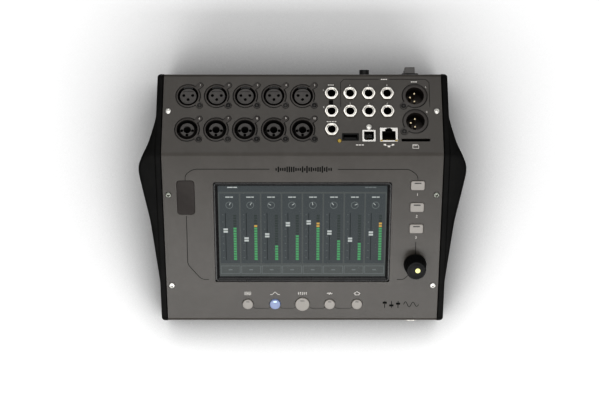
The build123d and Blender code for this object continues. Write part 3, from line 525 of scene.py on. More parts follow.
FINISHES = {
    "panel_coat": dict(colour=linear(65, 61, 56), rough=0.33, grain=1900.0, depth=0.00003, wear=0.25,
            wear_colour=(0.2, 0.19, 0.18), dust=0.03, drift=0.05),
    "pan_coat": dict(colour=linear(38, 37, 36), rough=0.5, grain=1900.0, depth=0.00003, wear=0.3),
    "cheek_moulding": dict(colour=linear(14, 14, 13), rough=0.48, grain=1100.0, depth=0.00004, wear=0.1,
            wear_colour=(0.04, 0.04, 0.04), dust=0.015, specular=0.14),
    "foot_rubber": dict(colour=linear(30, 30, 30), rough=0.85, grain=700.0, depth=0.00008),
    "cover_plastic": dict(colour=linear(58, 54, 52), rough=0.5, grain=1300.0, specular=0.2),
    "frame_plastic": dict(colour=linear(24, 24, 25), rough=0.28, grain=1800.0, depth=0.00001, edge=0.0002),
    "display_body": dict(colour=linear(50, 52, 54), rough=0.5),
    "plated_steel": dict(colour=(0.62, 0.62, 0.6), rough=0.32, metal=1.0, grain=900.0, stretch=(1, 12, 1)),
    "key_plastic": dict(colour=linear(156, 152, 147), rough=0.45, grain=2200.0, depth=0.00001, wear=0.2,
            wear_colour=(0.55, 0.54, 0.52), dust=0.03, drift=0.04),
    "lit_plastic": dict(colour=linear(134, 142, 166), rough=0.4, grain=2200.0, depth=0.00001,
            glow=linear(140, 172, 235), glow_power=0.12, drift=0.04),
    "lens_dark": dict(colour=linear(60, 60, 60), rough=0.25, depth=0.000005),
    "board_mask": dict(colour=linear(24, 84, 50), rough=0.35, grain=300.0, depth=0.00004, coat=0.3,
            drift=0.3),
    "switch_plastic": dict(colour=linear(28, 28, 28), rough=0.5),
    "knob_plastic": dict(colour=linear(15, 15, 17), specular=0.3, rough=0.5, wear=0.1,
            wear_colour=(0.05, 0.05, 0.05), dust=0.03),
    "dot_plastic": dict(colour=linear(232, 232, 160), rough=0.35, depth=0.000008, glow=linear(232, 232, 160),
            glow_power=0.1),
    "rocker_plastic": dict(colour=linear(98, 96, 94), rough=0.35, grain=1700.0, depth=0.00001),
    "fitting_plastic": dict(colour=linear(26, 26, 26), rough=0.45, grain=1300.0),
    "socket_plastic": dict(colour=linear(66, 63, 61), rough=0.4, wear=0.15, wear_colour=(0.09, 0.085, 0.08)),
    "collar_plastic": dict(colour=linear(66, 62, 59), rough=0.45, wear=0.2, wear_colour=(0.1, 0.095, 0.09)),
    "latch_plastic": dict(colour=linear(16, 16, 16), rough=0.4),
    "bore_dark": dict(colour=linear(10, 10, 10), rough=0.6),
    "nut_nickel": dict(colour=(0.7, 0.68, 0.64), rough=0.34, metal=1.0, grain=1200.0, depth=0.000004,
            edge=0.0002, dust=0.03),
    "dark_casting": dict(colour=linear(66, 61, 58), rough=0.42, metal=0.55, depth=0.00003),
    "pin_silver": dict(colour=(0.6, 0.52, 0.38), rough=0.34, metal=1.0, depth=0.00001),
    "tin_shell": dict(colour=(0.5, 0.49, 0.47), rough=0.36, metal=1.0, grain=1100.0, stretch=(1, 8, 1),
            depth=0.00001),
    "lamp_amber": dict(colour=linear(150, 128, 50), rough=0.25, depth=0.000005, glow=linear(190, 160, 60),
            glow_power=0.1),
    "screw_silver": dict(colour=(0.74, 0.73, 0.7), rough=0.4, metal=1.0, grain=1300.0, depth=0.000004,
            edge=0.0002),
    # Darker copy of screw_silver for the same screws: painted shade on the two upper panel screws.
    "screw_painted_shade": dict(colour=(0.3, 0.31, 0.28), rough=0.42, metal=1.0, grain=1300.0, depth=0.000004,
            edge=0.0002),
    "screw_black": dict(colour=linear(22, 22, 22), rough=0.35, metal=0.6, grain=1300.0, wear=0.3,
            wear_colour=(0.2, 0.2, 0.2), edge=0.0002),
    "brass": dict(colour=(0.72, 0.55, 0.26), rough=0.3, metal=1.0),
    "cable_film": dict(colour=linear(170, 110, 40), rough=0.35),
    "contact_gold": dict(colour=(0.85, 0.65, 0.3), rough=0.22, metal=1.0, depth=0.000008),
    "lamp_blue": dict(colour=linear(200, 222, 250), rough=0.3, depth=0.000005, glow=linear(190, 220, 255),
            glow_power=1.2),
    "print_dark": dict(colour=linear(12, 11, 10), rough=0.6, specular=0.15, depth=0.000005, drift=0.03,
            dust=0.0),
    "print_pale": dict(colour=linear(226, 223, 218), rough=0.6, depth=0.000005, drift=0.03, dust=0.02),
}
SPECIAL = {"display_image": display_material, "touch_glass": glass_material, "floor": floor_material}
MADE = {}


def finish(name):
    if name not in MADE:
        MADE[name] = SPECIAL[name]() if name in SPECIAL else shade(name, **FINISHES[name])
    return MADE[name]


CARRIED = {
    "panel_coat": ["top_panel"],
    "pan_coat": ["base_pan"],
    "foot_rubber": ["rubber_feet"],
    "cover_plastic": ["antenna_cover"],
    "display_body": ["lcd_panel"],
    "plated_steel": ["lcd_bracket", "encoder_shaft", "heatsink"],
    "board_mask": ["control_board", "main_board", "connector_board"],
    "switch_plastic": ["tact_switches", "encoder_body"],
    "fitting_plastic": ["power_switch_body", "dc_inlet", "phones_jack", "line_jacks", "card_slot"],
    "rocker_plastic": ["power_rocker"],
    "socket_plastic": [f"mic_socket_{i}" for i in range(1, 6)] + [f"combo_socket_{i}" for i in range(6, 11)],
    "latch_plastic": [f"mic_latch_{i}" for i in range(1, 6)],
    "dark_casting": ["main_out_sockets"],
    "pin_silver": ["main_out_pins"],
    "tin_shell": ["usb_device_socket", "network_socket"],
    "bore_dark": ["usb_host_socket"],
    "lamp_amber": ["status_led"],
    "screw_black": ["black_screws"],
    "brass": ["board_standoffs"],
    "cable_film": ["display_cable"],
}


# ------------------------------------------------------------------ properties
def length(name, text, millimetres):
    return bpy.props.FloatProperty(name=name, description=text, default=millimetres * MM, unit="LENGTH")


def power(name, text, watts):
    return bpy.props.FloatProperty(name=name, description=text, default=watts, unit="POWER")


class DeskSizes(bpy.types.PropertyGroup):
    wing_reach: length("Wing reach", "Swell of the side wings beyond the wall", 17.2)
    wing_tip: length("Wing tip", "Thickness of the wing at its rim", 7.0)
    rail_edge: length("Rail edge", "Rounding of the rail's edges", 1.1)
    key_edge: length("Key edge", "Rounding of the key tops", 0.55)
    print_lift: length("Print lift", "Thickness of the printed marks", 0.04)
    knob_ribs: bpy.props.IntProperty(name="Knob ribs", description="Ribs round the knob", default=24, min=6)


class DeskStage(bpy.types.PropertyGroup):
    camera_height: bpy.props.FloatProperty(name="Camera height", description="Camera above the table",
            default=1.131, unit="LENGTH")
    lens: bpy.props.FloatProperty(name="Lens", description="Focal length in millimetres", default=70.5)
    sky: bpy.props.FloatProperty(name="Sky", description="Strength of the even white surround", default=0.19)
    front_light: power("Front light", "Power of the box in front", 9.2)
    top_light: power("Top light", "Power of the wide box overhead", 8.8)
    back_glint: power("Back glint", "Power of the strip that brightens the metal parts", 4.2)


def sizes(name):
    return getattr(bpy.context.scene.desk_sizes, name) / MM


# ------------------------------------------------------------------ cheeks
def soft_min(first, second, blend):
    return -blend * np.logaddexp(-first / blend, -second / blend)


def rail_height(y):
    """Two straight slopes joined by a smooth minimum at the crest."""
    lift = 1.4
    ahead = CREST_Z + lift / cos(FRONT_TILT) - (CREST_Y - y) * tan(FRONT_TILT)
    behind = CREST_Z + lift / cos(REAR_TILT) - (y - CREST_Y) * tan(REAR_TILT)
    return soft_min(ahead, behind, 0.65)


def end_rounding(distance, radius):
    """Inset of a quarter circle at a distance from the end."""
    inside = np.clip(radius - distance, 0, radius)
    return radius - np.sqrt(radius ** 2 - inside ** 2)


def wing_reach(y):
    """Plan swell of the wing: straight runs between stations, blended by a bell-weighted moving average."""
    stations = np.array([-120, -80, -22, 4, 20, 27, 46, 60, 70, 120.0])
    swell = np.array([0, 0, 0.41, 0.72, 0.9, 0.9, 0.39, 0.15, 0, 0]) * sizes("wing_reach")
    fine = np.linspace(-130, 130, 1041)
    plain = np.interp(fine, stations, swell)
    bell = np.hanning(61)
    blended = np.convolve(plain, bell / bell.sum(), "same")
    return np.interp(y, fine, blended)


def cheek_shape():
    """Cross-section of offset and height carried along Y: rail, crease, wing top, rim, hollow, wall."""
    low_y, high_y = WALL_LOW[1], WALL_HIGH[1]
    wall_in, wall_out = WALL_LOW[0] + 8.6, WALL_LOW[0] + 14.0
    ease = (1 - np.cos(np.linspace(0, pi / 2, 9))) * 4.0
    y = np.unique(np.concatenate([low_y + ease, np.linspace(low_y + 4, high_y - 4, 170), high_y - ease,
            CREST_Y + np.linspace(-6, 6, 25)]))
    from_end = np.minimum(y - low_y, high_y - y)
    top = rail_height(y) - end_rounding(from_end, 4.0)
    corner = end_rounding(from_end, 3.0)
    reach = wing_reach(y)
    edge = sizes("rail_edge")
    outer = wall_out - corner
    turn = np.linspace(0, pi / 2, 6)
    loops = []

    def add(x, z):
        loops.append(np.stack([x + 0 * y, y, z + 0 * y], -1))

    add(wall_in, FLOOR_Z)
    add(wall_in, top - edge)
    for a in turn:
        add(wall_in + edge * (1 - cos(a)), top - edge + edge * sin(a))
    for a in turn:
        add(outer - edge + edge * sin(a), top - edge + edge * cos(a))
    add(outer, top - 1.5)
    crease = top - 1.7
    add(outer + 0.12 * np.clip(reach, 0, 1), crease)
    rim = np.clip(0.45 * reach, 0.02, 2.6)
    share = np.linspace(0.08, 1, 9)
    wing_w = np.maximum(reach - rim, 0.0)
    for t in share:
        droop = 0.9 * (t ** 2) * np.clip(reach / 15, 0, 1)
        add(outer + 0.12 * np.clip(reach, 0, 1) + wing_w * t, crease - droop)
    drop = 0.9 * np.clip(reach / 15, 0, 1)
    for a in np.linspace(0.1, pi / 2, 7):
        add(outer + wing_w + rim * sin(a), crease - drop - rim * (1 - cos(a)))
    tip = sizes("wing_tip")
    scoop = 26.0

    def under(offset):
        return top - 1.4 - tip - scoop + np.sqrt(scoop ** 2 - np.clip(24.0 - offset, 0, scoop - 0.01) ** 2)

    low_rim = np.clip(0.3 * reach, 0.01, 1.8)
    rim_x = outer + wing_w + rim
    for a in np.linspace(0, pi / 2, 6):
        add(rim_x - low_rim * (1 - cos(a)),
                np.minimum(under(reach - low_rim) + low_rim * (1 - sin(a)), crease - drop - rim))
    inner_x = reach - low_rim
    for t in np.linspace(0.12, 1, 12):
        add(outer + inner_x * (1 - t), np.minimum(under(inner_x * (1 - t)), crease - drop - rim - 0.01 * t))
    foot = under(0 * reach)
    for t in np.linspace(0.1, 1, 4):
        add(outer, foot + (FLOOR_Z + 0.8 - foot) * t)
    add(outer - 0.8, FLOOR_Z)
    loops = np.array(loops).transpose(1, 0, 2)
    return loft(loops)


def mirrored(shape):
    """Left-hand copy: X changes sign and each face turns round."""
    points, faces = shape
    return points * (-1, 1, 1), [face[::-1] for face in faces]


# ------------------------------------------------------------------ operators
class DESK_OT_dress(bpy.types.Operator):
    """Give every carried-over node its finish"""
    bl_idname = "desk.dress"
    bl_label = "Dress the Carried Nodes"

    def execute(self, context):
        for material, nodes in CARRIED.items():
            for node in nodes:
                dress(node, material)
        return {"FINISHED"}


class DESK_OT_cheeks(bpy.types.Operator):
    """Build the two side cheeks with their swelling wings"""
    bl_idname = "desk.cheeks"
    bl_label = "Build the Cheeks"

    def execute(self, context):
        right = cheek_shape()
        make_piece("right_cheek_shell", right, "case", "cheek_moulding", ["right_cheek"],
                32)
        make_piece("left_cheek_shell", mirrored(right), "case", "cheek_moulding",
                ["left_cheek"], 32)
        return {"FINISHED"}


SCREEN = dict(width=152.4, height=91.4, s=73.9, lift=-2.84)
PALE, DIM, SLATE, SLOT = shown(206, 212, 210), shown(116, 124, 124), shown(68, 74, 76), shown(36, 40, 42)
METER_OFF, METER_LOW, METER_HIGH = shown(52, 60, 58), shown(80, 176, 108), shown(222, 178, 80)


class Picture:
    """Flat coloured tiles and strokes, in millimetres from the display's top left corner."""

    def __init__(self):
        self.shapes, self.colours = [], []

    def put(self, shape, colour, level):
        points, faces = shape
        points = points * (1, -1, 1) + (-SCREEN["width"] / 2, SCREEN["height"] / 2,
                SCREEN["lift"] + 0.008 * level)
        self.shapes.append((points, [face[::-1] for face in faces]))
        self.colours += [(*colour, 1.0)] * len(faces)

    def tile(self, u0, v0, u1, v1, colour, level=1):
        self.put(rectangle(u0, v0, u1, v1), colour, level)

    def line(self, points, width, colour, level=2, closed=False):
        self.put(ribbon(points, width, closed=closed), colour, level)

    def frame(self, u0, v0, u1, v1, width, colour, level=3):
        self.line([(u0, v0), (u1, v0), (u1, v1), (u0, v1)], width, colour, level, True)

    def words(self, u, v, lengths, colour, height=0.9, level=3):
        """Short dashes in place of lettering, centred on u."""
        start = u - (sum(lengths) + 0.5 * (len(lengths) - 1)) / 2
        for length in lengths:
            self.tile(start, v - height / 2, start + length, v + height / 2, colour, level)
            start += length + 0.5


def draw_display(picture):
    """A plain page of equal strips, each with a name dash, a turning mark, a fader and a segmented meter."""
    wide, high = SCREEN["width"], SCREEN["height"]
    picture.tile(0, 0, wide, high, shown(84, 89, 88), 0)
    picture.tile(0, 0, wide, 8.6, SLATE, 1)
    picture.words(13.0, 4.3, (5.0, 3.4), PALE, 1.1)
    picture.words(wide - 15.0, 4.3, (3.0, 3.0, 3.0), DIM, 1.1)
    count, gap = 8, 1.4
    width = (wide - gap * (count + 1)) / count
    turn = np.linspace(0, 2 * pi, 25)[:-1]
    for i in range(count):
        left = gap + i * (width + gap)
        right, middle = left + width, left + width / 2
        picture.tile(left, 10.2, right, 78.4, SLATE, 1)
        picture.words(middle, 13.6, (4.0, 2.4), PALE, 1.1)
        picture.line(np.stack([middle + 3.1 * np.cos(turn), 21.4 + 3.1 * np.sin(turn)], -1), 0.5, DIM, 3,
                True)
        lean = 1.1 * sin(2.3 * i + 0.4)
        picture.line([(middle, 21.4), (middle + 2.7 * sin(lean), 21.4 - 2.7 * cos(lean))], 0.6, PALE, 4)
        slot, meter = left + 5.0, right - 5.4
        picture.tile(slot - 0.35, 29.0, slot + 0.35, 75.0, SLOT, 2)
        for tick in range(7):
            picture.tile(slot - 2.9, 30.4 + 7.0 * tick, slot - 1.7, 30.8 + 7.0 * tick, DIM, 2)
        cap = 46.0 + 9.0 * sin(1.3 * i)
        picture.tile(slot - 2.0, cap - 2.1, slot + 2.0, cap + 2.1, PALE, 4)
        picture.tile(slot - 2.0, cap - 0.25, slot + 2.0, cap + 0.25, SLOT, 5)
        lit = 10 + 5 * sin(1.9 * i + 0.5)
        for step in range(18):
            tone = METER_OFF if step > lit else METER_HIGH if step > 12 else METER_LOW
            picture.tile(meter, 73.2 - 2.5 * step, meter + 2.8, 75.0 - 2.5 * step, tone, 3)
        picture.frame(left, 81.0, right, 88.6, 0.4, DIM)
        picture.words(middle, 84.8, (3.4,), DIM, 1.1)


class DESK_OT_screen(bpy.types.Operator):
    """Build the screen frame, its lit picture and the cover glass"""
    bl_idname = "desk.screen"
    bl_label = "Build the Screen"

    def execute(self, context):
        wide, high_s = 159.8, 96.8
        levels = [(-3.9, -3.3), (-3.9, -1.75), (0, -1.75), (0, -0.35), (0.1, -0.1), (0.35, 0.0), (1.1, 0.02),
                (1.35, -0.08), (3.1, -1.35), (3.4, -1.62), (3.5, -1.74), (0.8, -1.76), (0.8, -3.3)]
        frame_shape = loft(pad(wide, high_s, 3.2, levels) + pad(wide, high_s, 3.2, levels[:1]), False, False)
        make_piece("screen_frame", moved(frame_shape, front(0, SCREEN_S)), "case", "frame_plastic",
                ["screen_bezel"], 40)
        glass = loft(pad(157.8, 94.8, 1.0, [(0.1, -2.72), (0, -2.66), (0, -1.84), (0.08, -1.765)]))
        make_piece("cover_glass", moved(glass, front(0, SCREEN_S)), "case", "touch_glass",
                ["touch_glass"], 30)
        picture = Picture()
        draw_display(picture)
        make_piece("display_image", moved(joined(picture.shapes), front(0, SCREEN["s"])), "case",
                "display_image", (), 30, np.array(picture.colours))
        return {"FINISHED"}


def dished_pad(width, height, corner, low, high, edge, dish):
    """Rounded key: side, quarter-round edge, then inset loops that sink by a parabola."""
    levels = rounded_levels(low, high, edge)
    deepest = min(width, height) / 2 - 0.05
    for share in (0.25, 0.5, 0.75, 1.0):
        inset = edge + (deepest - edge) * share
        levels.append((inset, high - dish * (1 - (1 - share) ** 2)))
    return loft(pad(width, height, corner, levels))


class DESK_OT_keys(bpy.types.Operator):
    """Build the three soft keys and the five round buttons with their lenses"""
    bl_idname = "desk.keys"
    bl_label = "Build the Keys"

    def execute(self, context):
        edge = sizes("key_edge")
        for i, s in enumerate((29.6, 50.4, 71.1)):
            node = f"soft_key_{i + 1}"
            cap = dished_pad(12.4, 8.7, 1.7, -3.0, 1.2, edge, 0.1)
            make_piece(node + "_cap", moved(cap, front(KEY_X, s)), node, "key_plastic", [node],
                    30)
            lens = loft(pad(6.2, 1.0, 0.48, [(0, 0.6), (0, 1.22), (0.08, 1.26)]))
            make_piece(node + "_lens", moved(lens, front(KEY_X, s - 2.3)), node, "lens_dark", (), 30)
        names = ("setup_button", "process_button", "home_button", "effects_button", "fader_button")
        for i, node in enumerate(names):
            radius = 6.7 if node == "home_button" else 4.95
            turn = np.linspace(0, pi / 2, 7)
            profile = [(0, -3.0), (radius, -3.0)]
            profile += round_over(radius, 0.75, 0.75, 0.75, turn)
            profile += [(radius * t, 1.5 + 0.1 * (1 - t * t)) for t in (0.75, 0.5, 0.25, 0)]
            lit = node == "process_button"
            place = front(BUTTON_PITCH * (i - 2), BUTTON_S)
            make_piece(node + "_cap", moved(lathe(profile, 56), place), node,
                    "lit_plastic" if lit else "key_plastic", [node], 40)
            lens = loft(pad(radius * 0.62, 0.75, 0.36, [(0, 0.9), (0, 1.56), (0.06, 1.6)]))
            make_piece(node + "_lens", moved(lens, place @ shift(0, radius * 0.56)), node,
                    "lamp_blue" if lit else "lens_dark", (), 30)
        return {"FINISHED"}


class DESK_OT_knob(bpy.types.Operator):
    """Build the ribbed knob and its pale dot"""
    bl_idname = "desk.knob"
    bl_label = "Build the Knob"

    def execute(self, context):
        ribs = context.scene.desk_sizes.knob_ribs
        turn = np.linspace(0, pi / 2, 7)
        profile = [(3.05, 6.0), (6.6, 5.9), (6.6, 0.6), (9.9, 0.6), (10.3, 0.9), (10.3, 2.2)]
        side = np.linspace(0, 1, 9)
        profile += [(10.1 - 1.3 * t, 2.5 + 11.0 * t) for t in side]
        profile += round_over(8.8, 13.9, 1.1, 1.1, turn[1:])
        profile += [(6.9, 14.95), (6.5, 14.75), (4.0, 14.6), (2.0, 14.56), (0, 14.55)]
        count = len(profile)

        def ribbed(angle, row):
            index = row * (count - 1)
            on_side = np.clip((index - 5.5) / 1.0, 0, 1) * np.clip((count - 7.5 - index) / 3.0, 0, 1)
            return 1 - 0.035 * on_side * np.abs(np.sin(angle * ribs / 2)) ** 6

        shape = lathe(profile, ribs * 12, ribbed)
        place = front(KEY_X, KNOB_S)
        make_piece("encoder_knob_grip", moved(shape, place), "knob", "knob_plastic",
                ["encoder_knob"], 40)
        dot = lathe([(0, 14.3), (2.35, 14.3), (2.35, 14.78), (2.25, 14.88), (1.2, 14.95), (0, 14.98)], 32)
        make_piece("knob_dot", moved(dot, place @ shift(1.3, 0)), "knob", "dot_plastic",
                ["knob_cap"], 40)
        return {"FINISHED"}


def collar_radius(angle, lobes, ring):
    """Polar outline: the ring, or where larger the far side of each lobe circle seen from the centre."""
    outline = np.full_like(angle, ring)
    for x, y, size in lobes:
        distance, heading = np.hypot(x, y), np.arctan2(y, x)
        off = (angle - heading + pi) % (2 * pi) - pi
        inside = size ** 2 - (distance * np.sin(off)) ** 2
        far = np.where((inside > 0) & (np.abs(off) < pi / 2),
                distance * np.cos(off) + np.sqrt(np.maximum(inside, 0)), 0)
        outline = np.maximum(outline, far)
    return outline


def collar(ring, hole, lobes, high):
    """Flat lobed ring: finer near each lobe, with softened upper edges."""
    even = np.linspace(0, 2 * pi, 97)[:-1]
    shadow_occlusion = [np.arctan2(y, x) % (2 * pi) + np.linspace(-0.26, 0.26, 41) for x, y, _ in lobes]
    angle = np.unique(np.concatenate([even] + shadow_occlusion) % (2 * pi))
    outline = collar_radius(angle, lobes, ring)
    rows = ((hole, 0.02), (hole, high - 0.1), (hole + 0.1, high), (outline - 0.22, high),
            (outline - 0.05, high - 0.08), (outline, high - 0.2), (outline, 0.02), (hole, 0.02))
    points, faces = loft(polar(angle, rows), False, False)
    return points, [face[::-1] for face in faces]


LOBES = ((10.5, -9.2, 2.75), (10.8, 10.4, 2.45))
OUT_LOBES = ((-10.2, -9.8, 3.0),)


class DESK_OT_sockets(bpy.types.Operator):
    """Build the lobed collars round the three-pole sockets, with the dark joint round each"""
    bl_idname = "desk.sockets"
    bl_label = "Build the Socket Collars"

    def execute(self, context):
        places = [(rear(x, s), 10.65, 9.3, LOBES) for x in MIC_X for s in MIC_S]
        places += [(rear(MAIN_OUT_X, s), 11.0, 8.3, OUT_LOBES) for s in MAIN_OUT_S]
        rings, joints = [], []
        for place, ring, hole, lobes in places:
            rings.append(moved(collar(ring, hole, lobes, 0.62), place))
            wider = [(x, y, size + 0.36) for x, y, size in lobes]
            joints.append(moved(collar(ring + 0.5, ring - 0.5, wider, 0.12), place))
        make_piece("socket_collars", joined(rings), "case", "collar_plastic", (), 32)
        make_piece("socket_joints", joined(joints), "case", "bore_dark", (), 32)
        return {"FINISHED"}


def polar(angle, rows):
    """Loops from rows of (radius, height): x = r cos a, y = r sin a, where r may change with the angle."""
    return [np.stack([radius * np.cos(angle), radius * np.sin(angle), angle * 0 + lift], -1)
            for radius, lift in rows]


def hex_radius(angle, flat):
    """Polar outline of a hexagon: half the flat width over the cosine within each sixth."""
    return flat / 2 / np.cos(angle % (pi / 3) - pi / 6)


def hex_nut(flat, thick, hole, chamfer=0.55):
    """Hexagon whose upper corners are cut by a cone, with a round hole."""
    angle = np.arange(72) * 2 * pi / 72
    outline = hex_radius(angle, flat)
    cone = flat / 2 + 0.05
    rows = [(outline, 0.0), (outline, thick - 1.05),
            (np.minimum(outline, cone + 0.55), thick - 0.55 * chamfer - 0.25),
            (np.minimum(outline, cone + 0.1), thick - 0.06), (np.minimum(outline, cone) - 0.15, thick),
            (hole + 0.25, thick), (hole, thick - 0.25), (hole, 0.0), (outline, 0.0)]
    return loft(polar(angle, rows), False, False)


def bush_end(outer, bore, top, low=0.0):
    """Threaded end of a jack's bushing: ring with chamfers and three shallow turns."""
    profile = [(bore, low), (outer, low)]
    for turn in range(3):
        z = top - 0.28 - 0.42 * (2 - turn)
        profile += [(outer, z - 0.21), (outer - 0.16, z)]
    profile += [(outer - 0.05, top - 0.12), (outer - 0.3, top), (bore + 0.4, top), (bore, top - 0.4),
            (bore, low)]
    return lathe(profile, 48)


JACKS = [(STEREO_X, s) for s in (*JACK_S, 22.9)] + [(x, s) for x in OUTPUT_X for s in JACK_S]


class DESK_OT_nuts(bpy.types.Operator):
    """Build the chamfered jack nuts and the bright ends of their bushings"""
    bl_idname = "desk.nuts"
    bl_label = "Build the Nuts"

    def execute(self, context):
        pieces = []
        for x, s in JACKS:
            pieces.append(moved(hex_nut(JACK_FLAT, 2.2, 4.5), rear(x, s)))
            pieces.append(moved(bush_end(BUSH_RADIUS, BORE_RADIUS, 1.72), rear(x, s)))
        pieces.append(moved(hex_nut(10.0, 2.0, 3.55), front(KEY_X, KNOB_S)))
        make_piece("jack_nuts", joined(pieces), "case", "nut_nickel", ["panel_nuts"], 32)
        low_y = PANEL_LOW[1]
        place = place_matrix((102.0, low_y, 19.0), (0, -1, 0))
        nut = joined([hex_nut(JACK_FLAT, 1.5, 4.5), bush_end(BUSH_RADIUS, BORE_RADIUS, 1.58)])
        make_piece("phones_nut_ring", moved(nut, place), "case", "nut_nickel", ["phones_nut"],
                32)
        return {"FINISHED"}


def panel_screw():
    """Raised round head with a small recess, on its shank."""
    turn = np.linspace(0, pi / 2, 6)
    profile = [(0, -6.5), (1.4, -6.5), (1.4, 0), (2.65, 0), (2.65, 0.45)]
    profile += round_over(2.65, 0.45, 1.1, 0.75, turn[1:])
    profile += [(1.4, 1.24), (1.22, 1.1), (1.12, -0.5), (0, -0.6)]
    return lathe(profile, 40)


SCREWS = [(side * SCREW_X, s) for side in (-1, 1) for s in (38.6, 127.5)]


class DESK_OT_screws(bpy.types.Operator):
    """Build the bright panel screws, and the two upper ones in a darker copy of the same finish as painted
    shade
    """
    bl_idname = "desk.screws"
    bl_label = "Build the Panel Screws"

    def execute(self, context):
        places = [front(x, s) for x,
                s in SCREWS if s > 100] + [rear(side * SCREW_X, 40.6)
                        for side in (-1, 1)] + [rear(59.3, 25.4)]
        heads = [moved(panel_screw(), place) for place in places]
        make_piece("panel_screw_heads", joined(heads), "case", "screw_silver",
                ["panel_screws"], 40)
        # Painted shade: the two upper screws get the darker copy of the silver finish.
        upper = [moved(panel_screw(), front(x, s)) for x, s in SCREWS if s < 100]
        make_piece("upper_screw_heads", joined(upper), "case", "screw_painted_shade", (), 40)
        return {"FINISHED"}


def well(width, height, corner, low, top, wall=0.15):
    """Thin-walled open box: outside up, over the rim and down inside."""
    return loft(pad(width, height, corner, [(0, low), (0, top), (wall, top), (wall, low + wall)]))


def line_on(place, points, width, lift):
    return moved(ribbon(points, width, lift), place)


